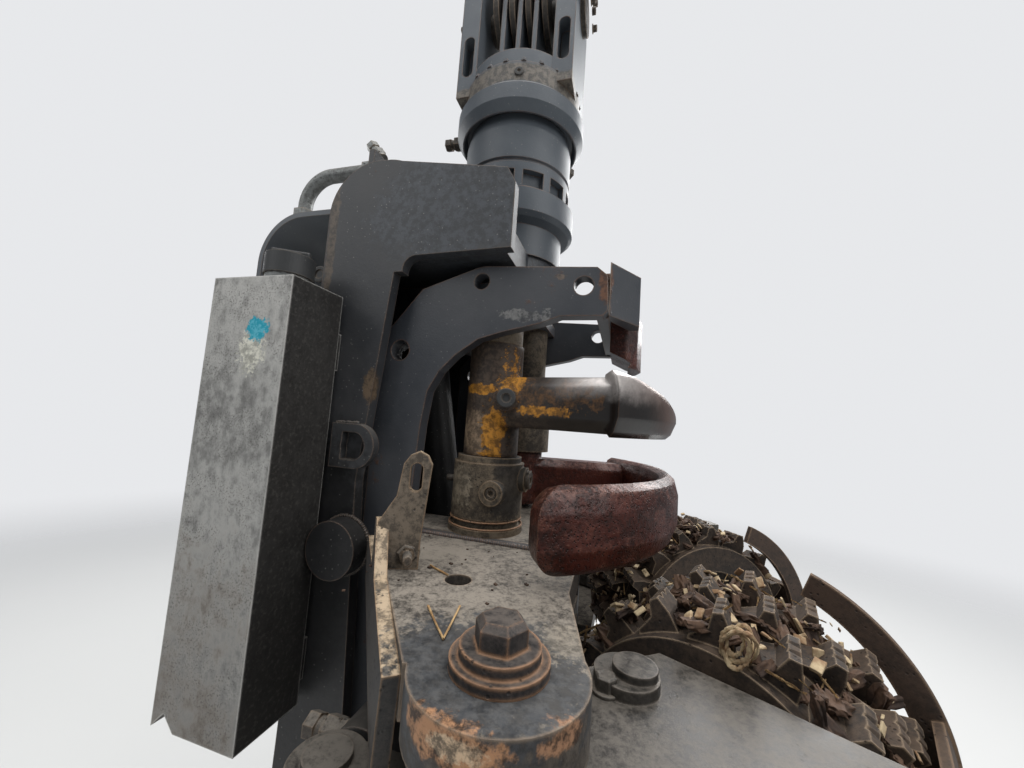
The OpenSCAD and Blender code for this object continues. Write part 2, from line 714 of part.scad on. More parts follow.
module upper_knife(z0, h, blade_z, blade_h, path) {
    // Drawn for the near side, with its pin at the origin
    difference() {
        union() {
            translate([0, 0, z0]) cylinder(h = h, d = hub_d);
            translate([0, 0, blade_z]) blade(blade_h, [pin_x, -knife_pin_y], path);
            // Knuckle on the hub
            translate([30, -20, blade_z + blade_h * 0.52]) rotate([90, 0, 14])
                cylinder(h = hub_d / 2, d = 40);
        }
        translate([0, 0, z0 - 1]) cylinder(h = h + 2, d = knife_pin_d);
    }
}
near_slope = 17;
module knife_near() {
    color([0.28, 0.18, 0.12]) translate([pin_x, -knife_pin_y, 0]) difference() {
        upper_knife(near_hub_z, hub_top - near_hub_z, near_hub_z + 46, near_blade_h, near_path);
        // The blade's upper edge falls towards its tip
        translate(concat(on_blade([pin_x, -knife_pin_y], near_path, 3, 0), near_hub_z + 46 + near_blade_h))
            rotate([0, 0, 66]) rotate([0, near_slope, 0]) translate([0, -200, 0]) cube([400, 400, 200]);
    }
}
module knife_far() {
    color(rust) translate([pin_x, knife_pin_y, 0]) mirror([0, 1, 0])
        upper_knife(far_hub_z, far_hub_h, far_hub_z + 4, far_blade_h, far_path);
}

// Roller arms

arm_turn = -27;
arm_crank_r = 140;
arm_crank_x = arm_pin_x - arm_crank_r;
roller_r = drum_d / 2 + tooth_h;
// Middle of the near roller, measured from its arm's pin
roller_at = [367 - arm_pin_x, arm_pin_y - 200];
arm_face = 16;
tooth_skew = 10;
module arm_frame() {
    rotate([0, 0, arm_turn]) children();
}
roller_local = [
    roller_at[0] * cos(arm_turn) + roller_at[1] * sin(arm_turn),
    -roller_at[0] * sin(arm_turn) + roller_at[1] * cos(arm_turn)];
arm_in = roller_local[1] - roller_w / 2 - arm_face;
module arm_plate_outline() {
    circle(arm_pin_d / 2 + 32);
    // Drawn along the arm: X runs out to its free end
    polygon([
        [-14, -58], [120, -62], [roller_local[0] + 140, arm_in - 80],
        [roller_local[0] + 188, arm_in - 36], [roller_local[0] + 188, arm_in],
        [40, arm_in], [-30, 50]]);
}
arm_plate_t = 24;
module roller_arm() {
    // Pin at the origin, levels absolute
    difference() {
        union() {
            arm_frame() {
                flat(arm_top_z - arm_plate_t, arm_plate_t) arm_plate_outline();
                flat(arm_top_z - arm_h, arm_plate_t) arm_plate_outline();
                // Webs between the two plates
                translate([60, arm_in - 22, arm_top_z - arm_h]) cube([roller_local[0] + 50, 22, arm_h]);
                translate([56, -64, arm_top_z - arm_h + 10]) cube([20, arm_in + 50, arm_h - 20]);
                translate([roller_local[0], arm_in, roller_z]) rotate([-90, 0, 0])
                    cylinder(h = arm_face - 6, d = 150);
            }
            translate([0, 0, arm_top_z - arm_h]) cylinder(h = arm_h, d = arm_pin_d + 60);
            // Crank for the cylinder that closes both arms
            both_levels() translate([-arm_crank_r, -27, 0]) cube([arm_crank_r, 54, 22]);
            both_levels() translate([-arm_crank_r, 0, 0]) cylinder(h = 22, r = 32);
            translate([-arm_crank_r, 0, arm_cyl_z + 44]) cylinder(h = 6, d = cyl_pin_d);
            translate([-arm_crank_r, 0, arm_cyl_z - 50]) cylinder(h = 6, d = cyl_pin_d);
            // Pin cap on top of the arm
            arm_frame() translate([39, 128, arm_top_z]) {
                cylinder(h = 10, d = 58);
                translate([6, 4, 10]) cylinder(h = 7, d = 40);
            }
        }
        translate([0, 0, arm_top_z - arm_h - 1]) cylinder(h = arm_h + 2, d = arm_pin_d);
        arm_frame() translate([roller_local[0], arm_in - 40, roller_z]) rotate([-90, 0, 0])
            cylinder(h = 80, d = 60);
    }
}
module both_levels() {
    for (z = [arm_cyl_z + 22, arm_cyl_z - 44]) translate([0, 0, z]) children();
}
module arm_near() {
    color(worn) translate([arm_pin_x, -arm_pin_y, 0]) {
        roller_arm();
        translate([-arm_crank_r, 0, arm_cyl_z - 48]) cylinder(h = 96, d = cyl_pin_d - 2 * run);
    }
}
module arm_far() {
    color(worn) mirror([0, 1, 0]) translate([arm_pin_x, -arm_pin_y, 0]) roller_arm();
}
guard_in_r = roller_r + 8;
module roller_guard() {
    // Curved plate round the roller's front, and its rim at the inner end
    arm_frame() translate([roller_local[0], arm_in, roller_z]) rotate([-90, 0, 0]) {
        rotate([0, 0, -20]) rotate_extrude(angle = 75, $fn = 96)
            translate([guard_in_r, 0]) square([10, roller_w + arm_face + 14]);
        rotate([0, 0, -70]) rotate_extrude(angle = 128, $fn = 96)
            translate([guard_in_r - 18, roller_w + arm_face + 8]) square([31, 9]);
    }
}
module roller_guard_near() {
    color(rust) translate([arm_pin_x, -arm_pin_y, 0]) roller_guard();
}
module roller_guard_far() {
    color(rust) mirror([0, 1, 0]) translate([arm_pin_x, -arm_pin_y, 0]) roller_guard();
}
// One lug: a hollow-faced chisel that stands on the drum, with a serrated edge
module tooth(w) {
    r = drum_d / 2;
    rotate([tooth_skew, 0, 0]) rotate([90, 0, 0]) difference() {
        translate([0, 0, -w / 2]) linear_extrude(w) polygon([
            [r - 8, -24], [r + tooth_h * 0.5, -20], [r + tooth_h, -12], [r + tooth_h - 2, -2],
            [r + tooth_h * 0.45, 2], [r + 4, 20], [r - 8, 22]]);
        // Gaps between the edge's teeth
        for (k = [-1, 1]) translate([r + tooth_h + 3, 0, k * w / 6]) rotate([0, 45, 0])
            cube([11, 90, 11], center = true);
    }
}
module feed_roller() {
    row_w = (roller_w - 10) / row_n;
    arm_frame() translate([roller_local[0], roller_local[1], roller_z]) {
        difference() {
            union() {
                rod_y(0, -roller_w / 2, roller_w, 0, drum_d);
                rod_y(0, -roller_w / 2 - arm_face - 30, arm_face + 40, 0, 60 - 2 * run);
                for (row = [0:row_n - 1]) for (i = [0:tooth_n - 1])
                    translate([0, -roller_w / 2 + 5 + row_w * (row + 0.5), 0])
                        rotate([0, (i + row * 0.5) * 360 / tooth_n, 0]) tooth(row_w * 0.72);
            }
            rod_y(0, roller_w / 2 - 30, 40, 0, drum_d - 90);
        }
    }
}
module roller_near() {
    color([0.36, 0.30, 0.25]) translate([arm_pin_x, -arm_pin_y, 0]) feed_roller();
}
module roller_far() {
    color([0.36, 0.30, 0.25]) mirror([0, 1, 0]) translate([arm_pin_x, -arm_pin_y, 0]) feed_roller();
}

// Cylinder across the head that works the roller arms

arm_cyl_d = 74;
arm_barrel_l = 450;
eye_w = 36;
module arm_barrel() {
    color([0.18, 0.18, 0.19]) translate([arm_crank_x, -arm_pin_y, arm_cyl_z]) rotate([-90, 0, 0])
        barrel(arm_barrel_l, arm_cyl_d, 62, eye_w, cyl_pin_d);
}
module arm_rod() {
    color([0.60, 0.60, 0.62]) translate([arm_crank_x, arm_pin_y, arm_cyl_z]) rotate([-90, 0, 0])
        rod(540, arm_cyl_d, 58, eye_w, cyl_pin_d - 10);
}

// Rear knives

rear_pin_x = 40;
rear_pin_y = 252;
rear_crank_r = 92;
rear_crank_x = rear_pin_x - rear_crank_r;
rear_plate_t = 24;
rear_hub_h = 120;
module rear_bracket_outline() {
    difference() {
        union() {
            polygon([[-90, -frame_y], [-20, -rear_pin_y - 30], [rear_pin_x, -rear_pin_y - 52],
                [rear_pin_x + 52, -rear_pin_y], [150, -frame_y]]);
            translate([rear_pin_x, -rear_pin_y]) circle(54);
        }
        translate([rear_pin_x, -rear_pin_y]) circle(d = knife_pin_d);
    }
}
module rear_brackets() {
    color(steel) both_sides() {
        flat(rear_top_z, rear_plate_t) rear_bracket_outline();
        flat(rear_top_z - rear_hub_h - rear_plate_t - 2, rear_plate_t) rear_bracket_outline();
        rod_z(rear_pin_x, -rear_pin_y, rear_top_z - rear_hub_h - rear_plate_t - 8,
            rear_hub_h + 2 * rear_plate_t + 16, knife_pin_d - 2 * run);
    }
}
module rear_knife(blade_z, h) {
    difference() {
        union() {
            translate([0, 0, rear_top_z - 1 - rear_hub_h]) cylinder(h = rear_hub_h, d = hub_d);
            translate([0, 0, blade_z]) blade(h, [rear_pin_x, -rear_pin_y], rear_path);
            for (z = [rear_z + 22, rear_z - 38]) translate([0, 0, z]) {
                translate([-rear_crank_r, -24, 0]) cube([rear_crank_r, 48, 16]);
                translate([-rear_crank_r, 0, 0]) cylinder(h = 16, r = 26);
                translate([-rear_crank_r, 0, -4]) cylinder(h = 24, d = 30);
            }
        }
        translate([0, 0, rear_top_z - 200]) cylinder(h = 300, d = knife_pin_d);
    }
}
module rear_knife_near() {
    color(rust) translate([rear_pin_x, -rear_pin_y, 0]) {
        rear_knife(rear_top_z - 52, 48);
        translate([-rear_crank_r, 0, rear_z - 42]) cylinder(h = 84, d = 30 - 2 * run);
    }
}
module rear_knife_far() {
    color(rust) mirror([0, 1, 0]) translate([rear_pin_x, -rear_pin_y, 0])
        rear_knife(rear_top_z - rear_hub_h + 2, 48);
}
rear_barrel_l = 264;
module rear_barrel() {
    color([0.18, 0.18, 0.19]) translate([rear_crank_x, -rear_pin_y, rear_z]) rotate([-90, 0, 0])
        barrel(rear_barrel_l, 60, 48, 30, 30);
}
module rear_rod() {
    color([0.60, 0.60, 0.62]) translate([rear_crank_x, rear_pin_y, rear_z]) rotate([-90, 0, 0])
        rod(272, 60, 44, 30, 22);
}

// Tilt cylinder

tilt_cyl_l = norm([rod_pin_x - tilt_cyl_x, rod_pin_z - tilt_cyl_z]);
tilt_cyl_a = atan2(rod_pin_x - tilt_cyl_x, rod_pin_z - tilt_cyl_z);
tilt_barrel_l = 520;
module tilt_barrel() {
    color([0.18, 0.18, 0.19]) translate([tilt_cyl_x, 0, tilt_cyl_z]) rotate([0, tilt_cyl_a, 0])
        barrel(tilt_barrel_l, 84, 64, 68, cyl_pin_d);
}
module tilt_rod() {
    color([0.60, 0.60, 0.62]) translate([rod_pin_x, 0, rod_pin_z]) rotate([0, tilt_cyl_a, 0])
        rod(500, 84, 60, 66, cyl_pin_d - 10);
}

// Inner roller and measuring wheel

inner_x = 178;
inner_z = low_deck_z - deck_t - 62;
module inner_roller() {
    color(steel) {
        rod_y(inner_x, -110, 220, inner_z, 108);
        rod_y(inner_x, -frame_y + 4, frame_w - 8, inner_z, 40 - 2 * run);
        for (k = [-3:3]) rod_y(inner_x, k * 30 - 5, 10, inner_z, 124);
    }
}
wheel_arm_x = 150;
wheel_arm_z = box_top_z + 60;
wheel_arm_d = 30;
wheel_x = 208;
wheel_z = box_top_z + 150;
module measuring_arm() {
    color(steel) {
        upright(-22, 10) hull() {
            translate([wheel_arm_x, wheel_arm_z]) circle(20);
            translate([wheel_x, wheel_z]) circle(18);
        }
        rod_y(wheel_arm_x, -46, 92, wheel_arm_z, wheel_arm_d - 2 * run);
        rod_y(wheel_x, -14, 30, wheel_z, 18);
    }
}
module measuring_wheel() {
    color(worn) difference() {
        translate([wheel_x, 8, wheel_z]) rotate([90, 0, 0]) linear_extrude(16) union() {
            circle(40);
            for (i = [0:19]) rotate(i * 18) polygon([[38, -5], [50, 0], [38, 5]]);
        }
        rod_y(wheel_x, -20, 60, wheel_z, 18 + 2 * run);
    }
}

// Saw

bar_x = 60;
saw_box_x0 = -110;
saw_box_x1 = 172;
saw_box_t = 12;
module saw_box() {
    color(steel) difference() {
        union() {
            for (z = [box_top_z - saw_box_t, box_top_z - 2 * saw_box_t - box_h])
                flat(z, saw_box_t) polygon([
                    [saw_box_x0, -bar_l + bar_y - 60], [bar_x + 70, -bar_l + bar_y - 60],
                    [saw_box_x1, -230], [foot_front_x, -160], [foot_front_x, 160], [saw_box_x1, 230],
                    [saw_box_x1, bar_y + 60], [bar_x + 40, bar_y + 110], [saw_box_x0, bar_y + 110]]);
            translate([saw_box_x0 - saw_box_t, -bar_l + bar_y - 60, box_top_z - 2 * saw_box_t - box_h])
                cube([saw_box_t, bar_l + 170, box_h + 2 * saw_box_t]);
            translate([saw_box_x0, bar_y + 98, box_top_z - saw_box_t - box_h])
                cube([bar_x + 40 - saw_box_x0, 12, box_h]);
            translate([saw_box_x0, -bar_l + bar_y - 60, box_top_z - saw_box_t - box_h])
                cube([bar_x + 30 - saw_box_x0, 12, box_h]);
        }
        rod_z(bar_x, bar_y, box_top_z - 20, 40, 60);
        rod_z(bar_x, bar_y, box_top_z - 2 * saw_box_t - box_h - 2, 40, 60);
    }
}
module saw_motor() {
    color([0.25, 0.26, 0.28]) {
        rod_z(bar_x, bar_y, box_top_z, 30, 150);
        rod_z(bar_x, bar_y, box_top_z + 30, 90, 112);
        translate([bar_x - 30, bar_y - 40, box_top_z + 120]) cube([60, 80, 34]);
    }
}
module bar_outline(grow) {
    union() {
        circle(bar_w / 2 + 16 + grow);
        translate([-bar_w / 2 - grow, -bar_l + bar_w / 2]) square([bar_w + 2 * grow, bar_l - bar_w / 2]);
        translate([0, -bar_l + bar_w / 2]) circle(bar_w / 2 + grow);
    }
}
module saw_bar() {
    color([0.50, 0.50, 0.50]) translate([bar_x, bar_y, bar_z]) {
        translate([0, 0, -bar_t / 2]) linear_extrude(bar_t) bar_outline(0);
        // Turning hub between the box's plates
        cylinder(h = box_top_z - bar_z - 0.3, d = 60 - 2 * run);
        translate([0, 0, -box_h / 2 - saw_box_t]) cylinder(h = box_h / 2 + saw_box_t, d = 60 - 2 * run);
        cylinder(h = 30, d = 90);
    }
}
chain_h = 13;
cutter_pitch = 38;
module cutter() {
    // Depth gauge, gullet and cutting edge, standing out along X
    polygon([[-3, 0], [5, 2], [6, 9], [1, 11], [1, 16], [9, 14], [7, 29], [-3, 30]]);
}
module saw_chain() {
    nose_y = -bar_l + bar_w / 2;
    run_l = bar_l - 160;
    color([0.42, 0.40, 0.38]) translate([bar_x, bar_y, bar_z - 6]) linear_extrude(12) difference() {
        union() {
            bar_outline(chain_h);
            // Cutters along both edges and round the nose
            for (turn = [0, 180]) translate([0, nose_y + run_l / 2 + 10]) rotate(turn)
                for (i = [0:floor(run_l / cutter_pitch) - 1])
                    translate([bar_w / 2 + chain_h, i * cutter_pitch - run_l / 2]) cutter();
            for (turn = [-150:40:-30])
                translate([0, nose_y]) rotate(turn) translate([bar_w / 2 + chain_h - 1, -15]) cutter();
        }
        bar_outline(0.3);
    }
}
module valve_cover() {
    color(steel) {
        translate([-190, -frame_y + 6, box_top_z + 20]) cube([80, 2 * frame_y - 12, 150]);
        translate([-150, -in_y + 30, box_top_z + 170]) cube([40, 2 * in_y - 60, 30]);
    }
}

crane_link();
rotator_yoke();
cross_pin();
rotator_motor();
tilt_frame();
tilt_pins();
oil_tank();
tank_cap();
hose_cover();
elbow_pipe();
tilt_barrel();
tilt_rod();
frame_sides();
upper_deck();
lower_deck();
cross_plates();
stem_plates();
arch_nose();
fixed_knife();
knife_sleeves();
head_pins();
guard_plates();
knife_near();
knife_far();
arm_near();
arm_far();
roller_guard_near();
roller_guard_far();
roller_near();
roller_far();
arm_barrel();
arm_rod();
rear_knife_near();
rear_knife_far();
rear_brackets();
rear_barrel();
rear_rod();
inner_roller();
measuring_arm();
measuring_wheel();
saw_box();
saw_motor();
saw_bar();
saw_chain();
valve_cover();
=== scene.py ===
"""Looks of the harvester head: worn paint, rust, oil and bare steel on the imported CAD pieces.

Every length is in metres, in the frame of the CAD: the origin is the crane-tip pin bore, +Z is up,
+X is the open side that takes the stem and -Y is the near side.
"""

from __future__ import annotations

import logging
import math
import random
from dataclasses import dataclass
from enum import Enum
from typing import Callable, ClassVar, Sequence, Union

import bpy
from mathutils import Matrix, Vector


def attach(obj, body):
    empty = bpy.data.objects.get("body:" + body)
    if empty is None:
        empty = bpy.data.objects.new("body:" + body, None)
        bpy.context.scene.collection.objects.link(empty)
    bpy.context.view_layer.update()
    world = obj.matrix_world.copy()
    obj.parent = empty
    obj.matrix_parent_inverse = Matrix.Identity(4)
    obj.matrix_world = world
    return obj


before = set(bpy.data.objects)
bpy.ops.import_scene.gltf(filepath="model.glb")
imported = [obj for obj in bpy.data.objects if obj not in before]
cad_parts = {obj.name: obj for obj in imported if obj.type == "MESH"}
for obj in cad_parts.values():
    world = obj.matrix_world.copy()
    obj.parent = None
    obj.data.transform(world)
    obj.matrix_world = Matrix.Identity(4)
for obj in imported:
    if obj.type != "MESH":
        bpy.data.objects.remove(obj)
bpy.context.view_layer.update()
LOG = logging.getLogger("harvester_head")

Colour = tuple[float, float, float]
Point = tuple[float, float, float]
Number = Union[float, "Term"]
Piece = bpy.types.Object


# Shader expressions


def _operator(operation: str, swapped: bool = False) -> Callable[["Term", Number], "Term"]:
    """Makes a Python operator that adds a Math node.

    Args:
        operation: Blender's name of the operation.
        swapped: whether the other value stands first.

    Returns:
        The operator.
    """

    def apply(term: "Term", other: Number) -> "Term":
        """Adds the node."""
        values = (other, term) if swapped else (term, other)
        return term.graph.add("ShaderNodeMath", {"operation": operation}, dict(enumerate(values)), "Value")

    return apply


@dataclass
class Term:
    """A shader value that takes part in Python expressions; top() is the larger of two values."""

    graph: "Graph"
    socket: bpy.types.NodeSocket

    __add__, __radd__ = _operator("ADD"), _operator("ADD", True)
    __sub__, __rsub__ = _operator("SUBTRACT"), _operator("SUBTRACT", True)
    __mul__, __rmul__ = _operator("MULTIPLY"), _operator("MULTIPLY", True)
    top = _operator("MAXIMUM")

    def step(self, low: float, high: float) -> "Term":
        """A smooth rise from 0 at low to 1 at high.

        Args:
            low: where the rise starts.
            high: where it ends, above or below low.

        Returns:
            A value from 0 to 1.
        """
        if low > high:
            return 1 - self.step(high, low)
        settings = {"interpolation_type": "SMOOTHSTEP"}
        inputs = {"Value": self, "From Min": low, "From Max": high}
        return self.graph.add("ShaderNodeMapRange", settings, inputs, "Result")


class Graph:
    """The node tree of one material."""

    def __init__(self, name: str) -> None:
        """Starts a material with its Principled shader.

        Args:
            name: the material's name.
        """
        self.material = bpy.data.materials.new(name)
        self.material.use_nodes = True
        self.tree = self.material.node_tree
        self.shader = self.tree.nodes["Principled BSDF"]
        self._place: Term | None = None

    def add(
        self,
        kind: str,
        settings: dict[str, object] | None = None,
        inputs: dict[object, object] | None = None,
        output: str | int = 0,
    ) -> Term:
        """Adds any node.

        Args:
            kind: the node's type.
            settings: its properties, which are set first.
            inputs: the values or links of its sockets, by name or number.
            output: the socket that the expression goes on from.

        Returns:
            That output as a term.
        """
        node = self.tree.nodes.new(kind)
        for key, value in (settings or {}).items():
            setattr(node, key, value)
        for key, value in (inputs or {}).items():
            self.feed(node.inputs[key], value)
        return Term(self, node.outputs[output])

    def feed(self, socket: bpy.types.NodeSocket, value: object) -> None:
        """Sets a socket, or links it where the value is a term.

        Args:
            socket: of a node.
            value: a number, a colour, a vector or a term.
        """
        if isinstance(value, Term):
            self.tree.links.new(value.socket, socket)
        elif isinstance(value, tuple) and socket.type == "RGBA":
            socket.default_value = (*value[:3], 1.0)
        else:
            socket.default_value = value

    def place(self) -> Term:
        """The point on the piece, in metres."""
        self._place = self._place or self.add("ShaderNodeTexCoord", output="Object")
        return self._place

    def axis(self, name: str) -> Term:
        """One coordinate of the point on the piece."""
        return self.add("ShaderNodeSeparateXYZ", inputs={0: self.place()}, output=name)

    def stretched(self, scale: Sequence[float]) -> Term:
        """The point with its coordinates scaled, for grain and runs."""
        return self.add("ShaderNodeMapping", inputs={"Vector": self.place(), "Scale": tuple(scale)})

    def noise(self, scale: float, detail: float = 4.0, rough: float = 0.6, at: Term | None = None) -> Term:
        """Cloudy noise from 0 to 1, with so many waves to the metre, at a point or the piece's own place."""
        inputs = {"Vector": at or self.place(), "Scale": scale, "Detail": detail, "Roughness": rough}
        return self.add("ShaderNodeTexNoise", {}, inputs, "Fac")

    def cells(self, scale: float) -> Term:
        """Distance to the nearest of many scattered points."""
        inputs = {"Vector": self.place(), "Scale": scale}
        return self.add("ShaderNodeTexVoronoi", inputs=inputs, output="Distance")

    def vector(self, operation: str, first: object, second: object, output: str = "Vector") -> Term:
        """Adds a Vector Math node, whose output is "Value" for a length or a product."""
        return self.add("ShaderNodeVectorMath", {"operation": operation}, {0: first, 1: second}, output)

    def mix(self, share: Number, first: object, second: object) -> Term:
        """Blends two colours: the first where share is 0, the second where it is 1."""
        return self.add("ShaderNodeMix", {"data_type": "RGBA"}, {0: share, 6: first, 7: second}, 2)

    def softened(self, radius: float, samples: int = 4) -> Term:
        """The face's direction, turned towards the next face at a corner."""
        return self.add("ShaderNodeBevel", {"samples": samples}, {"Radius": radius}, "Normal")

    def edges(self, radius: float) -> Term:
        """0 on a flat face, rising within a radius of a corner to near 0.3 on a square one."""
        hard = self.add("ShaderNodeNewGeometry", output="True Normal")
        return 1 - self.vector("DOT_PRODUCT", self.softened(radius, 6), hard, "Value")

    def facing(self, name: str) -> Term:
        """How far the face looks along one axis, from -1 to 1."""
        normal = self.add("ShaderNodeNewGeometry", output="True Normal")
        return self.add("ShaderNodeSeparateXYZ", inputs={0: normal}, output=name)

    def facing_up(self) -> Term:
        """1 on a face that looks up, 0 on an upright one and below."""
        return self.facing("Z").top(0.0)

    def rounded_up(self, radius: float) -> Term:
        """Like facing_up, with the piece's corners rounded off."""
        return self.add("ShaderNodeSeparateXYZ", inputs={0: self.softened(radius)}, output="Z").top(0.0)

    def corners(self, shade: Term, width: float, noise: Term, span: Sequence[float], colour: Colour) -> Term:
        """Colours worn corners; span says where the wear starts, where it is full, and its share."""
        return self.mix((self.edges(width) * noise).step(span[0], span[1]) * span[2], shade, colour)

    def film(self, weight: Term, rough: float) -> None:
        """Lays a clear film of some weight, from 0 to 1, and roughness over the finish."""
        self.feed(self.shader.inputs["Coat Weight"], weight)
        self.feed(self.shader.inputs["Coat Roughness"], rough)

    def finish(
        self, colour: object, rough: object, metal: object, height: Term, depth: float, soften: float = 0.0018
    ) -> bpy.types.Material:
        """Wires the shader.

        Args:
            colour: base colour.
            rough: roughness.
            metal: share of bare metal.
            height: relief from 0 to 1.
            depth: height of that relief in metres.
            soften: how round the corners look, in metres.

        Returns:
            The material.
        """
        for name, value in (("Base Color", colour), ("Roughness", rough), ("Metallic", metal)):
            self.feed(self.shader.inputs[name], value)
        inputs = {"Strength": 1.0, "Distance": depth, "Height": height, "Normal": self.softened(soften)}
        self.feed(self.shader.inputs["Normal"], self.add("ShaderNodeBump", {}, inputs, "Normal"))
        return self.material


# Finishes


DUST_FILM: Colour = (0.16, 0.14, 0.115)
PALE_SPECK: Colour = (0.42, 0.40, 0.36)
RUST_GRIT: Colour = (0.24, 0.13, 0.09)
RUST_EDGE: Colour = (0.26, 0.12, 0.07)
# Painted highlight of the wet rust knives, on edges that round upward.
RUST_PAINTED_HIGHLIGHT: Colour = (0.30, 0.16, 0.12)
HUB_DIRT: tuple[Colour, Colour] = ((0.035, 0.024, 0.018), (0.085, 0.058, 0.040))
HORN_EDGE: Colour = (0.22, 0.13, 0.08)
# Painted highlight of the near knife's blade: pale, and brown towards the tip.
HORN_PAINTED_HIGHLIGHT: tuple[Colour, Colour] = ((0.60, 0.55, 0.52), (0.24, 0.115, 0.075))
ZINC_SHADE: Colour = (0.22, 0.215, 0.205)
ZINC_SPECK: Colour = (0.085, 0.078, 0.068)
ZINC_EDGE: Colour = (0.72, 0.70, 0.66)
# Painted shade of the tank's side face that looks along +X.
TANK_PAINTED_SHADE: tuple[Colour, Colour] = ((0.018, 0.016, 0.015), (0.06, 0.056, 0.05))
DOT_RUBBED: Colour = (0.12, 0.50, 0.62)
OIL_FILM: Colour = (0.16, 0.12, 0.08)


def scaled(colour: Colour, share: float) -> Colour:
    """A colour made brighter or darker by a factor."""
    return tuple(share * part for part in colour)


@dataclass(frozen=True)
class Patch:
    """A ragged spot of another colour round one point of a piece.

    Attributes:
        at: middle of the spot.
        reach: half lengths of the spot along X, Y and Z.
        colour: its colour.
        share: how much of the colour shows in the middle.
        ragged: how uneven its border is.
        deep: how dark the hollows in the spot are, as a share of its colour.
    """

    at: Point
    reach: Point
    colour: Colour
    share: float = 0.8
    ragged: float = 1.0
    deep: float = 0.35

    def lay(self, graph: Graph, shade: Term, rough_noise: Term) -> Term:
        """Lays the spot over a colour.

        Args:
            graph: the material's nodes.
            shade: the colour so far.
            rough_noise: cloudy noise that tears the border.

        Returns:
            The colour with the spot.
        """
        moved = graph.vector("SUBTRACT", graph.place(), self.at)
        away = graph.vector("LENGTH", graph.vector("DIVIDE", moved, self.reach), (0.0, 0.0, 0.0), "Value")
        inside = (away + (rough_noise - 0.5) * (3.2 * self.ragged)).step(1.05, 0.75)
        mottle = graph.noise(85.0, 5.0, 0.75).step(0.40, 0.60)
        tone = graph.mix(mottle, scaled(self.colour, self.deep), self.colour)
        return graph.mix(inside * self.share, shade, tone)


@dataclass(frozen=True)
class Finish:
    """A finish whose material is made once and shared by its pieces.

    Attributes:
        name: of the material.
        made: the materials so far, by name.
    """

    name: str
    made: ClassVar[dict[str, bpy.types.Material]] = {}

    def build(self, graph: Graph) -> bpy.types.Material:
        """Draws the finish in a node tree."""
        raise NotImplementedError

    def material(self) -> bpy.types.Material:
        """The finish's material, made at its first use.

        Returns:
            The material.
        """
        if self.name not in self.made:
            self.made[self.name] = self.build(Graph(self.name))
        return self.made[self.name]


@dataclass(frozen=True)
class WornPaint(Finish):
    """Dark paint with pale specks and dust, worn to rust and bare steel at its corners.

    Attributes:
        paint: colour of the sound paint.
        rust: colour of the rust that shows through.
        bare: colour of the steel at rubbed corners.
        wear: how much of the corners is worn, from 0 to 1.
        dust: how pale the dust on upper faces is.
        gloss: roughness of the sound paint.
        specks: how much the pale specks show.
        patches: spots of rust, dust or rubbed paint, and spots of painted light and painted shade.
    """

    paint: Colour = (0.030, 0.032, 0.036)
    rust: Colour = (0.115, 0.048, 0.022)
    bare: Colour = (0.20, 0.17, 0.14)
    wear: float = 0.5
    dust: float = 0.5
    gloss: float = 0.42
    specks: float = 0.4
    patches: tuple[Patch, ...] = ()

    def build(self, graph: Graph) -> bpy.types.Material:
        """Draws the paint, its dirt and its worn corners.

        Args:
            graph: the node tree.

        Returns:
            The material.
        """
        broad = graph.noise(5.0, 5.0, 0.62)
        fine = graph.noise(70.0, 4.0, 0.7)
        corner = graph.edges(0.006) * (0.35 + fine * 1.6)
        gone, flaked = 0.22 * self.wear, 0.06 * self.wear
        worn = corner.step(0.30 - gone, 0.46 - gone)
        rubbed = (corner * (0.4 + broad * 1.2)).step(0.26, 0.42)
        patch = (broad * 0.7 + fine * 0.3).step(0.66 - flaked, 0.74 - flaked)
        speck = graph.cells(120.0).step(0.15, 0.06) * graph.noise(26.0, 2.0).step(0.42, 0.56)
        dull = (graph.facing_up() * self.dust + 0.12) * broad.step(0.32, 0.66)
        shade = graph.mix(broad.step(0.3, 0.7), self.paint, scaled(self.paint, 1.5))
        shade = graph.mix(dull, shade, DUST_FILM)
        for spot in self.patches:
            shade = spot.lay(graph, shade, broad * 0.6 + fine * 0.4)
        shade = graph.mix(patch * 0.75, shade, self.rust)
        shade = graph.mix(worn, shade, graph.mix(fine.step(0.4, 0.6), self.rust, scaled(self.rust, 1.9)))
        shade = graph.mix(rubbed, shade, self.bare)
        shade = graph.mix(speck * self.specks, shade, PALE_SPECK)
        rough = self.gloss + broad * 0.18 + worn * 0.25 + patch * 0.2 - rubbed * 0.15
        relief = fine * 0.5 + graph.noise(320.0, 2.0) * 0.3 - worn * 0.6 + patch * 0.5
        return graph.finish(shade, rough, rubbed * 0.7, relief, 0.0006)


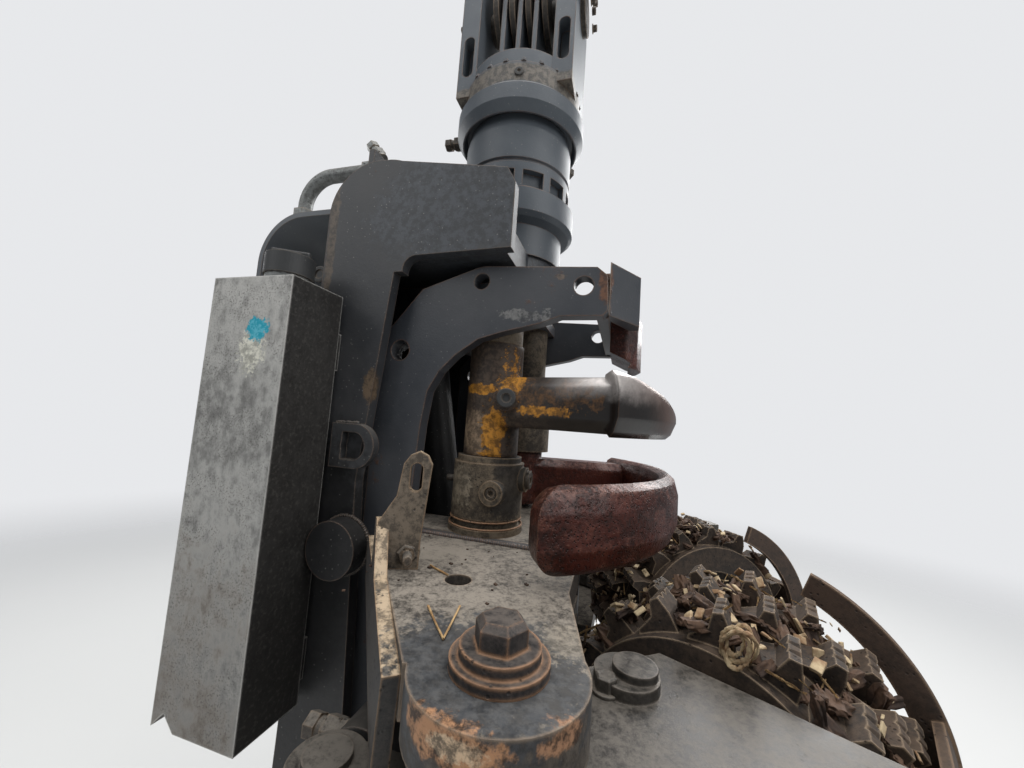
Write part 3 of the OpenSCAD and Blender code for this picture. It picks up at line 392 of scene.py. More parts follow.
@dataclass(frozen=True)
class OldSteel(Finish):
    """Unpainted steel: brown and pitted, dusty on top, bright or cream at rubbed corners.

    Attributes:
        dark: colour in the hollows.
        pale: colour on the rubbed face.
        corner: colour of its corners.
        dust: colour of the dust.
        dusty: share of dust on upper faces.
        metal: share of bare metal in the rubbed face.
        gloss: roughness of the rubbed face.
        pits: depth of the pitting in metres.
        pitted: how dark the pits are.
        edge: width of the worn corners.
        crown: colour of faces that look up, where crowned is above 0.
        crowned: share of that colour.
        patches: spots of rust, dust or oil.
    """

    dark: Colour = (0.045, 0.034, 0.028)
    pale: Colour = (0.12, 0.10, 0.085)
    corner: Colour = (0.30, 0.22, 0.15)
    dust: Colour = (0.27, 0.24, 0.20)
    dusty: float = 0.6
    metal: float = 0.5
    gloss: float = 0.45
    pits: float = 0.0008
    pitted: float = 0.8
    edge: float = 0.007
    crown: Colour = (0.42, 0.31, 0.21)
    crowned: float = 0.0
    patches: tuple[Patch, ...] = ()

    def build(self, graph: Graph) -> bpy.types.Material:
        """Draws the steel, its pits, dust and corners.

        Args:
            graph: the node tree.

        Returns:
            The material.
        """
        broad = graph.noise(9.0, 5.0, 0.65)
        fine = graph.noise(110.0, 4.0, 0.7)
        mottle = graph.noise(105.0, 6.0, 0.85)
        pit = graph.cells(150.0).step(0.28, 0.10) * graph.noise(38.0, 3.0).step(0.46, 0.58)
        corner = (graph.edges(self.edge) * (0.3 + mottle * 1.7)).step(0.13, 0.32)
        lie = graph.facing_up() * self.dusty * (broad * 0.45 + mottle * 0.75).step(0.46, 0.68)
        shade = graph.mix((broad * 0.45 + mottle * 0.55).step(0.40, 0.61), self.dark, self.pale)
        shade = graph.mix(lie, shade, self.dust)
        for spot in self.patches:
            shade = spot.lay(graph, shade, broad * 0.5 + fine * 0.5)
        if self.crowned:
            torn = (broad * 0.5 + fine * 0.5).step(0.40, 0.47) * graph.facing_up().step(0.15, 0.35)
            hollow = graph.noise(60.0, 5.0, 0.75).step(0.42, 0.58)
            tone = graph.mix(hollow, scaled(self.crown, 0.3), self.crown)
            shade = graph.mix(torn * self.crowned, shade, tone)
        shade = graph.mix(corner * 0.85, shade, self.corner)
        pit = pit * self.pitted
        shade = graph.mix(pit, shade, scaled(self.dark, 0.45))
        rough = self.gloss + broad * 0.22 + lie * 0.35 + pit * 0.2
        bare = self.metal * (1 - lie) * (1 - pit)
        return graph.finish(shade, rough, bare, fine * 0.4 + mottle * 0.5 + broad * 0.2 - pit, self.pits)


@dataclass(frozen=True)
class WetRust(Finish):
    """Dark red rust polished by stems, with a wet film, fine pits and a painted highlight on edges that round upward.

    Attributes:
        deep: colour in the pits and shade.
        red: colour of the open face.
        rub_and_painted_highlight: colour of the streaks that stems have rubbed.
    """

    deep: Colour = (0.020, 0.006, 0.004)
    red: Colour = (0.082, 0.018, 0.011)
    rub_and_painted_highlight: Colour = (0.150, 0.042, 0.024)

    def build(self, graph: Graph) -> bpy.types.Material:
        """Draws the rust, its pits, its film and its painted highlight.

        Args:
            graph: the node tree.

        Returns:
            The material.
        """
        broad = graph.noise(11.0, 5.0, 0.6)
        fine = graph.noise(160.0, 3.0, 0.7)
        run = graph.noise(26.0, 5.0, 0.7, graph.stretched((1.0, 1.0, 1.7)))
        pit = graph.cells(240.0).step(0.34, 0.12) * broad.step(0.34, 0.52)
        shade = graph.mix((broad * 0.6 + fine * 0.4).step(0.38, 0.60), self.deep, self.red)
        shade = graph.mix(run.step(0.50, 0.66) * 0.6, shade, self.rub_and_painted_highlight)
        shade = graph.mix((run * 0.3 + fine * 0.7).step(0.58, 0.66) * 0.4, shade, RUST_GRIT)
        shade = graph.corners(shade, 0.005, 0.5 + fine, (0.16, 0.34, 0.7), RUST_EDGE)
        shade = graph.mix(pit * 0.8, shade, self.deep)
        # Painted highlight: lighter colour on edges that round over to face up.
        rub_and_painted_highlight = graph.rounded_up(0.016).step(0.15, 0.80) * (run * 0.5 + fine * 0.6).step(0.48, 0.64)
        shade = graph.mix(rub_and_painted_highlight * 0.4, shade, RUST_PAINTED_HIGHLIGHT)
        rough = 0.27 + broad * 0.20 + pit * 0.3
        graph.shader.inputs["Specular IOR Level"].default_value = 0.35
        graph.film(run.step(0.40, 0.62) * 0.34, 0.16)
        return graph.finish(shade, rough, 0.1, fine * 0.8 + run * 0.6 - pit * 1.0, 0.0018, 0.010)


@dataclass(frozen=True)
class HornSteel(Finish):
    """Near upper knife: black-brown steel polished like horn, with remains of yellow paint at the hub and a painted
    highlight on the blade.

    Attributes:
        horn: colour of the polished blade.
        amber: colour where the polish is thin.
        paint: colour of the paint's remains.
        kept: middle, reach and raggedness of each remain of paint.
        thin: places where dirt or a thin coat of paint stays.
    """

    horn: Colour = (0.012, 0.008, 0.006)
    amber: Colour = (0.105, 0.042, 0.020)
    paint: Colour = (0.62, 0.27, 0.028)
    kept: tuple[tuple[Point, Point, float], ...] = (
        ((0.062, -0.165, -1.012), (0.027, 0.05, 0.038), 1.0),
        ((0.008, -0.160, -1.042), (0.036, 0.05, 0.009), 1.1),
        ((0.036, -0.160, -1.112), (0.026, 0.05, 0.050), 0.9),
        ((0.125, -0.165, -1.073), (0.052, 0.05, 0.007), 1.3),
    )
    thin: tuple[Patch, ...] = (
        Patch((0.004, -0.150, -1.115), (0.036, 0.06, 0.048), (0.34, 0.24, 0.155), 0.85, 0.7),
        Patch((0.140, -0.165, -1.045), (0.065, 0.06, 0.024), (0.30, 0.13, 0.03), 0.38, 1.6, 0.1),
    )

    def build(self, graph: Graph) -> bpy.types.Material:
        """Draws the horn, the amber, the paint and the painted highlight.

        Args:
            graph: the node tree.

        Returns:
            The material.
        """
        broad = graph.noise(7.0, 5.0, 0.62)
        fine = graph.noise(120.0, 4.0, 0.7)
        outward = graph.axis("X").step(0.22, 0.33)
        inward = graph.axis("X").step(0.17, 0.06)
        shade = graph.mix((broad * 0.5 + outward * 0.5).step(0.45, 0.80), self.horn, self.amber)
        shade = graph.mix(inward, shade, graph.mix(fine.step(0.40, 0.62), *HUB_DIRT))
        cloud = graph.noise(17.0, 5.0, 0.72)
        for spot in self.thin:
            shade = spot.lay(graph, shade, cloud)
        for at, reach, ragged in self.kept:
            shade = Patch(at, reach, self.paint, 0.95, ragged + 0.5, 0.3).lay(graph, shade, cloud * 0.55 + fine * 0.45)
        shade = graph.corners(shade, 0.005, 0.5 + fine, (0.16, 0.36, 0.6), HORN_EDGE)
        # Painted highlight: a pale band on the blade's upper part, brown towards the tip, which also raises the
        # metallic share.
        upper = (graph.axis("Z") + (cloud - 0.5) * 0.05).step(-1.060, -1.022)
        rub_and_painted_highlight = upper * graph.axis("X").step(0.11, 0.20) * (0.6 + fine * 0.6)
        shade = graph.mix(rub_and_painted_highlight, shade, graph.mix(outward, *HORN_PAINTED_HIGHLIGHT))
        rough = 0.22 + inward * 0.34 + broad * 0.12
        graph.film((1 - inward) * 0.5, 0.10)
        return graph.finish(shade, rough, rub_and_painted_highlight * 0.4 + 0.1, fine * 0.5 + broad * 0.3, 0.0006, 0.010)


@dataclass(frozen=True)
class ZincSheet(Finish):
    """Tank: dull zinc grey with upright grain, stains low down, one rubbed dot of blue-green paint and painted shade
    on its +X side.

    Attributes:
        pale: colour of the clean sheet.
        stain: colour of the stains.
        dot: colour of the dot.
        dot_at: middle of the dot.
        dot_r: its radius.
    """

    pale: Colour = (0.50, 0.49, 0.465)
    stain: Colour = (0.115, 0.085, 0.060)
    dot: Colour = (0.02, 0.36, 0.48)
    dot_at: Point = (-0.262, -0.330, -0.987)
    dot_r: float = 0.016

    def build(self, graph: Graph) -> bpy.types.Material:
        """Draws the grain, the stains, the scuffs, the painted shade of the side and the dot.

        Args:
            graph: the node tree.

        Returns:
            The material.
        """
        broad = graph.noise(5.0, 5.0, 0.66)
        grain = graph.noise(60.0, 4.0, 0.7, graph.stretched((1.2, 1.2, 0.8)))
        fine = graph.noise(180.0, 3.0, 0.7)
        side = graph.facing("X").step(0.5, 0.8)
        lower = graph.axis("Z").step(-1.05, -1.50)
        shade = graph.mix((broad * 0.5 + grain * 0.5).step(0.38, 0.60), ZINC_SHADE, self.pale)
        stain = (broad * 0.6 + grain * 0.35 + lower * 0.20).step(0.58, 0.80)
        shade = graph.mix(stain * 0.8, shade, self.stain)
        speck = graph.noise(330.0, 4.0, 0.8).step(0.52, 0.62) * graph.noise(22.0, 3.0).step(0.36, 0.58)
        shade = graph.mix(speck * 0.75, shade, ZINC_SPECK)
        # Painted shade: the side face that looks along +X is darkened nearly to black.
        shade = graph.mix(side * 0.93, shade, graph.mix(fine.step(0.5, 0.7), *TANK_PAINTED_SHADE))
        away = graph.vector("DISTANCE", graph.place(), self.dot_at, "Value")
        ragged = away + (grain - 0.5) * 0.05 + (fine - 0.5) * 0.02
        scuff_at = (self.dot_at[0] - 0.006, self.dot_at[1], self.dot_at[2] - 0.030)
        scuff = Patch(scuff_at, (0.026, 0.03, 0.036), (0.80, 0.78, 0.68), 1.0, 0.9, 0.5)
        shade = scuff.lay(graph, shade, broad * 0.3 + fine * 0.7)
        tone = graph.mix(fine.step(0.46, 0.62), self.dot, DOT_RUBBED)
        shade = graph.mix(ragged.step(self.dot_r + 0.003, self.dot_r - 0.002), shade, tone)
        shade = graph.corners(shade, 0.006, 0.4 + fine, (0.10, 0.26, 0.8), ZINC_EDGE)
        rough = 0.46 + broad * 0.2 + stain * 0.15
        return graph.finish(shade, rough, 0.35, grain * 0.6 + fine * 0.4, 0.0005)


@dataclass(frozen=True)
class Polished(Finish):
    """Chromed rod with a fine grain and an oily film.

    Attributes:
        tone: colour of the chrome.
    """

    tone: Colour = (0.55, 0.55, 0.56)

    def build(self, graph: Graph) -> bpy.types.Material:
        """Draws the chrome, its grain and its film.

        Args:
            graph: the node tree.

        Returns:
            The material.
        """
        film = graph.noise(24.0, 4.0, 0.6)
        fine = graph.noise(300.0, 2.0)
        shade = graph.mix(film.step(0.46, 0.70) * 0.6, self.tone, OIL_FILM)
        return graph.finish(shade, 0.12 + film * 0.2, 1.0, fine, 0.0001)


@dataclass(frozen=True)
class Wood(Finish):
    """Chips, bark and straw.

    Attributes:
        pale: colour of the fresh side.
        dark: colour of the weathered side.
    """

    pale: Colour = (0.56, 0.44, 0.27)
    dark: Colour = (0.26, 0.15, 0.075)

    def build(self, graph: Graph) -> bpy.types.Material:
        """Draws grain over two shades.

        Args:
            graph: the node tree.

        Returns:
            The material.
        """
        broad = graph.noise(36.0, 3.0, 0.6)
        grain = graph.noise(240.0, 4.0, 0.7, graph.stretched((1.0, 0.25, 1.0)))
        shade = graph.mix((broad * 0.7 + grain * 0.3).step(0.38, 0.60), self.dark, self.pale)
        return graph.finish(shade, 0.7 + grain * 0.2, 0.0, grain, 0.0005)


@dataclass(frozen=True)
class FloorPaint(Finish):
    """Plain pale floor.

    Attributes:
        tone: colour of the floor.
    """

    tone: Colour = (0.62, 0.62, 0.61)

    def build(self, graph: Graph) -> bpy.types.Material:
        """Draws a nearly even grey.

        Args:
            graph: the node tree.

        Returns:
            The material.
        """
        cloud = graph.noise(1.5, 3.0)
        graph.feed(graph.shader.inputs["Base Color"], graph.mix(cloud, self.tone, scaled(self.tone, 1.03)))
        graph.shader.inputs["Roughness"].default_value = 0.7
        away = graph.vector("LENGTH", graph.place(), (0.0, 0.0, 0.0), "Value")
        graph.feed(graph.shader.inputs["Alpha"], away.step(6.5, 1.5))
        return graph.material


PAINT = WornPaint(
    "charcoal_paint", paint=(0.026, 0.028, 0.032),
    patches=(
        # Painted light: a lighter blue-grey spot high on the tilt frame.
        Patch((-0.02, -0.22, -0.75), (0.16, 0.30, 0.13), (0.075, 0.085, 0.100), 0.55, 0.7),
        # Painted shade: a near-black spot low on the tilt frame's legs.
        Patch((-0.23, -0.22, -1.45), (0.20, 0.30, 0.36), (0.012, 0.011, 0.011), 0.75, 0.6),
        Patch((-0.150, -0.22, -1.055), (0.012, 0.02, 0.030), (0.17, 0.115, 0.07), 0.85, 1.2),
        Patch((-0.255, -0.22, -0.80), (0.010, 0.30, 0.16), (0.15, 0.11, 0.075), 0.7, 1.0),
    ),
)
COVER = WornPaint("cover_paint", paint=(0.080, 0.089, 0.100), wear=0.35, dust=0.5, gloss=0.46)
PLATE = WornPaint(
    "worn_plate", paint=(0.036, 0.040, 0.048), wear=0.9, gloss=0.34, dust=0.35, specks=0.25,
    patches=(
        Patch((0.204, -0.175, -0.876), (0.011, 0.03, 0.040), (0.21, 0.090, 0.042), 0.75, 1.0),
        Patch((0.085, -0.181, -0.925), (0.04, 0.02, 0.012), (0.36, 0.35, 0.33), 0.45, 2.4, 0.12),
        Patch((0.135, -0.181, -0.868), (0.018, 0.02, 0.010), (0.24, 0.17, 0.12), 0.6, 1.8),
    ),
)
ROTATOR = WornPaint(
    "rotator_paint", paint=(0.066, 0.078, 0.092), specks=0.35, wear=0.75, gloss=0.38, dust=0.3,
    patches=(Patch((0.0, 0.0, -0.447), (9.0, 9.0, 0.020), (0.20, 0.165, 0.125), 0.8, 0.35),),
)
BLACK = WornPaint("black_paint", paint=(0.012, 0.012, 0.013), wear=0.4, gloss=0.38)
RUBBER = WornPaint("dark_plastic", paint=(0.022, 0.024, 0.026), wear=0.1, dust=0.4, gloss=0.5)
DECK = OldSteel(
    "dusty_deck", dark=(0.036, 0.031, 0.027), pale=(0.125, 0.106, 0.088), dust=(0.32, 0.28, 0.23), dusty=0.80,
    metal=0.2, pitted=0.2,
    patches=(
        Patch((0.156, -0.450, -1.27), (0.090, 0.080, 0.04), (0.066, 0.070, 0.076), 0.85, 0.9, 0.5),
        Patch((0.130, -0.519, -1.282), (0.056, 0.018, 0.013), (0.48, 0.250, 0.125), 0.95, 0.8, 0.10),
        Patch((0.146, -0.524, -1.283), (0.034, 0.010, 0.008), (0.68, 0.52, 0.35), 0.8, 1.0, 0.25),
        Patch((0.218, -0.492, -1.280), (0.024, 0.022, 0.010), (0.46, 0.25, 0.14), 0.9, 0.9, 0.12),
        Patch((0.198, -0.400, -1.27), (0.024, 0.030, 0.02), (0.42, 0.36, 0.28), 0.6, 1.9),
    ),
)
ARM = OldSteel(
    "arm_steel", dark=(0.028, 0.025, 0.022), pale=(0.085, 0.076, 0.066), corner=(0.15, 0.125, 0.10),
    dust=(0.20, 0.175, 0.145), dusty=0.40, pits=0.0004, pitted=0.25, gloss=0.30, metal=0.25,
)
SLEEVE = OldSteel(
    "sleeve_steel", dark=(0.036, 0.028, 0.021), pale=(0.190, 0.148, 0.102), corner=(0.30, 0.21, 0.13), dusty=0.4,
    metal=0.2, gloss=0.5,
    patches=(
        Patch((0.020, -0.110, -1.140), (0.090, 0.090, 0.016), (0.024, 0.022, 0.020), 0.85, 0.6),
        Patch((0.066, -0.130, -1.190), (0.034, 0.050, 0.070), (0.032, 0.028, 0.025), 0.8, 0.7),
        Patch((-0.016, -0.155, -1.195), (0.030, 0.040, 0.036), (0.36, 0.30, 0.22), 0.7, 1.3),
    ),
)
DRUM = OldSteel(
    "roller_steel", dark=(0.014, 0.009, 0.006), pale=(0.062, 0.040, 0.026), corner=(0.42, 0.31, 0.205),
    dust=(0.13, 0.088, 0.058), dusty=0.4, metal=0.0, gloss=0.62, edge=0.0055,
)
RIM = OldSteel(
    "rusty_rim", dark=(0.020, 0.013, 0.009), pale=(0.064, 0.038, 0.025), corner=(0.32, 0.21, 0.13),
    dust=(0.13, 0.088, 0.058), metal=0.0, gloss=0.58,
)
GUARD = OldSteel(
    "guard_steel", dark=(0.030, 0.029, 0.029), pale=(0.080, 0.070, 0.062), corner=(0.40, 0.26, 0.15), metal=0.15,
    crown=(0.56, 0.43, 0.29), crowned=0.95, edge=0.005,
    patches=(Patch((0.0, -0.320, -1.205), (0.070, 0.040, 0.078), (0.215, 0.170, 0.125), 0.85, 0.8, 0.4),),
)
WASHER = OldSteel(
    "worn_washers", dark=(0.020, 0.018, 0.018), pale=(0.075, 0.062, 0.056), corner=(0.50, 0.27, 0.14),
    dust=(0.14, 0.115, 0.095), dusty=0.5, metal=0.2, edge=0.008,
)
BARE = OldSteel("bare_steel", dark=(0.032, 0.027, 0.024), pale=(0.105, 0.090, 0.076), metal=0.5)
PIPE = OldSteel("pale_pipe", dark=(0.10, 0.10, 0.095), pale=(0.26, 0.27, 0.265), metal=0.6, gloss=0.4)
RED = WetRust("wet_rust")
HORN = HornSteel("horn_steel")
ZINC = ZincSheet("zinc_sheet")
CHROME = Polished("chromed_rod")
CHIP = Wood("fresh_chips")
BARK = Wood("old_bark", pale=(0.115, 0.064, 0.038), dark=(0.030, 0.016, 0.010))
STRAW = Wood("straw", pale=(0.62, 0.42, 0.20), dark=(0.36, 0.20, 0.08))
FLOOR = FloorPaint("pale_floor")


# Modelling by operator


def looks_up(face: bpy.types.MeshPolygon) -> bool:
    """Whether a face looks up."""
    return face.normal.z > 0.9


class Shop:
    """Operator steps that several sub-assemblies share."""

    @staticmethod
    def clear() -> None:
        """Deselects every object."""
        if bpy.context.object and bpy.context.object.mode != "OBJECT":
            bpy.ops.object.mode_set(mode="OBJECT")
        bpy.ops.object.select_all(action="DESELECT")

    @staticmethod
    def edit(piece: Piece, chosen: Callable[[bpy.types.MeshPolygon], bool]) -> None:
        """Goes into edit mode with some faces selected.

        Args:
            piece: the object.
            chosen: says which faces.
        """
        mesh = piece.data
        for element in (*mesh.vertices, *mesh.edges):
            element.select = False
        for face in mesh.polygons:
            face.select = chosen(face)
        bpy.ops.object.mode_set(mode="EDIT")
        bpy.ops.mesh.select_mode(type="FACE")

    @staticmethod
    def placing(place: Vector, axis: Vector, spin: float = 0.0) -> Matrix:
        """The move of a piece drawn along +Z to a place and an axis, spun about it by some radians."""
        turn = axis.to_track_quat("Z", "Y").to_matrix().to_4x4()
        return Matrix.Translation(place) @ turn @ Matrix.Rotation(spin, 4, "Z")

    @staticmethod
    def settle(piece: Piece) -> Piece:
        """Moves an object's own place into its mesh.

        Args:
            piece: the object.

        Returns:
            The same object.
        """
        piece.data.transform(piece.matrix_basis)
        piece.matrix_basis = Matrix.Identity(4)
        return piece

    @staticmethod
    def seat(piece: Piece, place: Vector, axis: Vector, spin: float = 0.0) -> Piece:
        """Turns a piece drawn along +Z to an axis, moves it, and puts its place in its mesh."""
        piece.data.transform(Shop.placing(place, axis, spin))
        return piece

    @staticmethod
    def disc(sides: int, radius: float, depth: float, level: float = 0.0) -> Piece:
        """Models an upright cylinder round +Z.

        Args:
            sides: of its outline.
            radius: of the cylinder.
            depth: its height.
            level: height of its underside.

        Returns:
            The cylinder.
        """
        Shop.clear()
        bpy.ops.mesh.primitive_cylinder_add(
            vertices=sides, radius=radius, depth=depth, location=(0, 0, level + depth / 2)
        )
        return Shop.settle(bpy.context.object)

    @staticmethod
    def loop(radius: float, wire: float, steps: tuple[int, int], place: Sequence[float] = (0, 0, 0)) -> Piece:
        """Models a flat loop of wire round +Z.

        Args:
            radius: of the loop.
            wire: radius of the wire.
            steps: faces along the loop and round the wire.
            place: the loop's middle.

        Returns:
            The loop.
        """
        Shop.clear()
        bpy.ops.mesh.primitive_torus_add(
            major_segments=steps[0], minor_segments=steps[1], major_radius=radius, minor_radius=wire, location=place
        )
        return Shop.settle(bpy.context.object)

    @staticmethod
    def top_steps(piece: Piece, *steps: tuple[float, float]) -> Piece:
        """Insets a piece's top face and raises the new face, step by step.

        Args:
            piece: the object, drawn along +Z.
            steps: width of the inset and rise of the new face.

        Returns:
            The same object.
        """
        Shop.edit(piece, looks_up)
        for width, rise in steps:
            bpy.ops.mesh.inset(thickness=width)
            bpy.ops.transform.translate(value=(0, 0, rise))
        bpy.ops.object.mode_set(mode="OBJECT")
        return piece

    @staticmethod
    def bar(size: Sequence[float], bevel: float, cuts: int = 0, wave: float = 0.0, seed: int = 0) -> Piece:
        """Models a block with bevelled edges, drawn round the origin.

        Args:
            size: its lengths along X, Y and Z.
            bevel: width of the bevels.
            cuts: subdivisions, for an uneven piece.
            wave: how far its corners are moved about.
            seed: of that unevenness.

        Returns:
            The block.
        """
        Shop.clear()
        bpy.ops.mesh.primitive_cube_add(size=1.0, location=(0, 0, 0))
        block = bpy.context.object
        Shop.edit(block, lambda face: True)
        bpy.ops.transform.resize(value=tuple(size))
        if cuts:
            bpy.ops.mesh.subdivide(number_cuts=cuts)
            bpy.ops.transform.vertex_random(offset=wave, seed=seed)
        if bevel:
            bpy.ops.mesh.bevel(offset=bevel, segments=2, affect="EDGES")
        bpy.ops.object.mode_set(mode="OBJECT")
        return block

    @staticmethod
    def copy(piece: Piece, move: Matrix) -> Piece:
        """Copies a piece with its mesh and moves the copy.

        Args:
            piece: the object.
            move: of the copy's mesh.

        Returns:
            The copy.
        """
        other = piece.copy()
        other.data = piece.data.copy()
        other.data.transform(move)
        bpy.context.scene.collection.objects.link(other)
        return other

    @staticmethod
    def copies(model: Piece, moves: Sequence[Matrix], name: str) -> Piece:
        """Copies a model to many places and joins the copies.

        Args:
            model: the object, which is removed.
            moves: one move for each copy.
            name: the joined object's name.

        Returns:
            The joined object.
        """
        made = [Shop.copy(model, move) for move in moves]
        bpy.data.objects.remove(model)
        return Shop.join(made, name)

    @staticmethod
    def twin(piece: Piece, name: str) -> Piece:
        """The mirror image of a piece on the far side, with its normals outward.

        Args:
            piece: the near side's object.
            name: the new object's name.

        Returns:
            The far side's object.
        """
        other = Shop.copy(piece, Matrix.Scale(-1, 4, Vector((0, 1, 0))))
        other.name = name
        other.data.flip_normals()
        return other

    @staticmethod
    def join(pieces: Sequence[Piece], name: str) -> Piece:
        """Joins pieces into one object.

        Args:
            pieces: the objects.
            name: the joined object's name.

        Returns:
            The joined object.
        """
        Shop.clear()
        for piece in pieces:
            piece.select_set(True)
        bpy.context.view_layer.objects.active = pieces[0]
        if len(pieces) > 1:
            bpy.ops.object.join()
        pieces[0].name = name
        return pieces[0]

    @staticmethod
    def dress(piece: Piece, finish: Finish, body: str, slot: str) -> Piece:
        """Gives a new piece its finish and its body.

        Args:
            piece: the object.
            finish: its finish.
            body: the CAD body that it rides on.
            slot: not used.

        Returns:
            The same object.
        """
        piece.data.materials.clear()
        piece.data.materials.append(finish.material())
        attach(piece, body)
        LOG.info("%s rides on %s", piece.name, body)
        return piece

    @staticmethod
    def fit(pieces: Sequence[Piece], name: str, finish: Finish, body: str, slot: str) -> Piece:
        """Joins pieces into one object and dresses it."""
        return Shop.dress(Shop.join(pieces, name), finish, body, slot)

    @staticmethod
    def pair(pieces: Sequence[Piece], name: str, finish: Finish, bodies: tuple[str, str], slot: str) -> None:
        """Fits pieces on the near side and their mirror image on the far side, each on its own body."""
        near = Shop.fit(pieces, f"{name}_near", finish, bodies[0], slot)
        Shop.dress(Shop.twin(near, f"{name}_far"), finish, bodies[1], slot)


class Form(Enum):
    """Outlines of small parts, by their number of sides."""

    HEX = 6
    ROUND = 24


class Fitting:
    """Small part drawn along +Z from its foot at the origin."""

    def model(self) -> Piece:
        """Models the part."""
        raise NotImplementedError

    def one(self, place: Vector, axis: Vector, spin: float = 0.0) -> Piece:
        """Models the part with its underside at a place, standing along an axis and spun about it."""
        return Shop.seat(self.model(), place, axis, spin)


@dataclass
class Bolts(Fitting):
    """Bolts that stand on a face, each on its washer.

    Attributes:
        size: width of the head.
        washer: width of the washer over that of the head.
    """

    size: float = 0.018
    washer: float = 1.45

    def model(self) -> Piece:
        """Models one bolt.

        Returns:
            The bolt.
        """
        size, rise = self.size, self.size * 0.14
        washer = Shop.disc(Form.ROUND.value, size * self.washer / 2, rise)
        Shop.top_steps(washer, (size * 0.06, size * 0.03))
        top = Shop.disc(Form.HEX.value, size * 0.58, size * 0.62, rise)
        Shop.top_steps(top, (size * 0.10, size * 0.07), (size * 0.16, -size * 0.03))
        return Shop.join([washer, top], "bolt")

    def ring(self, middle: Vector, axis: Vector, radius: float, count: int, start: float = 0.0) -> list[Piece]:
        """Models bolts on a circle.

        Args:
            middle: centre of the circle.
            axis: the way the bolts stand.
            radius: of the circle.
            count: of bolts.
            start: angle of the first one.

        Returns:
            The bolts.
        """
        side = axis.orthogonal().normalized()
        made = []
        for index in range(count):
            turn = Matrix.Rotation(start + index * math.tau / count, 3, axis)
            made.append(self.one(middle + turn @ side * radius, axis, index * 0.7))
        return made


@dataclass
class Plug(Fitting):
    """Round plug with a socket.

    Attributes:
        width: outer width.
        rise: height over the face it stands on.
        hole: width of the socket.
    """

    width: float = 0.019
    rise: float = 0.006
    hole: float = 0.009

    def model(self) -> Piece:
        """Models one plug.

        Returns:
            The plug.
        """
        plug, rim = Shop.disc(Form.ROUND.value, self.width / 2, self.rise), self.width * 0.05
        Shop.edit(plug, looks_up)
        bpy.ops.mesh.inset(thickness=rim)
        bpy.ops.transform.translate(value=(0, 0, self.rise * 0.12))
        bpy.ops.mesh.inset(thickness=(self.width - self.hole) / 2 - rim)
        bpy.ops.mesh.extrude_region_move(TRANSFORM_OT_translate={"value": (0, 0, -self.rise * 0.7)})
        bpy.ops.object.mode_set(mode="OBJECT")
        return plug


@dataclass
class PipeUnion(Fitting):
    """Capped pipe union: a collar, a hexagon, a neck and a cap with six sides.

    Attributes:
        size: width of the hexagon.
    """

    size: float = 0.030

    def model(self) -> Piece:
        """Models one union.

        Returns:
            The union.
        """
        rings = ((Form.ROUND, 0.52, 0.30), (Form.HEX, 0.58, 0.62), (Form.ROUND, 0.38, 0.34), (Form.HEX, 0.50, 0.50))
        made, level = [], 0.0
        for form, radius, rise in rings:
            ring = Shop.disc(form.value, self.size * radius, self.size * rise, level)
            made.append(Shop.top_steps(ring, (self.size * 0.06, self.size * 0.04)))
            level += self.size * rise
        return Shop.join(made, "union")


@dataclass
class Weld:
    """Weld bead along a line of points.

    Attributes:
        points: corners of the line.
        radius: of the bead.
    """

    points: Sequence[Sequence[float]]
    radius: float = 0.004

    def lay(self) -> Piece:
        """Models the bead as overlapping scales.

        Returns:
            The bead.
        """
        Shop.clear()
        bpy.ops.mesh.primitive_uv_sphere_add(segments=8, ring_count=5, radius=self.radius, location=(0, 0, 0))
        scale = bpy.context.object
        bpy.ops.object.shade_smooth()
        draw = random.Random(len(self.points) + int(1e4 * abs(self.points[0][0])))
        moves = []
        corners = [Vector(point) for point in self.points]
        for start, end in zip(corners, corners[1:]):
            span = end - start
            count = max(2, int(span.length / (self.radius * 0.85)))
            for index in range(count):
                size = draw.uniform(0.85, 1.15)
                here = start + span * ((index + draw.uniform(-0.12, 0.12)) / count)
                lean = Matrix.Diagonal((size, size, 0.7 * size, 1.0))
                moves.append(Shop.placing(here, span.normalized(), draw.uniform(0, 3)) @ lean)
        return Shop.copies(scale, moves, "bead")


# Sub-assemblies


@dataclass
class CadPieces:
    """CAD nodes that keep their shape and get a finish.

    Attributes:
        finishes: the finish of each node.
    """

    finishes: dict[str, Finish]

    def dress(self) -> None:
        """Puts the finishes on the nodes."""
        for name, finish in self.finishes.items():
            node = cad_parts[name]
            node.data.materials.clear()
            node.data.materials.append(finish.material())
            LOG.info("%s has %s", name, finish.name)


UP = Vector((0, 0, 1))
NEAR = Vector((0, -1, 0))
FRONT = Vector((1, 0, 0))


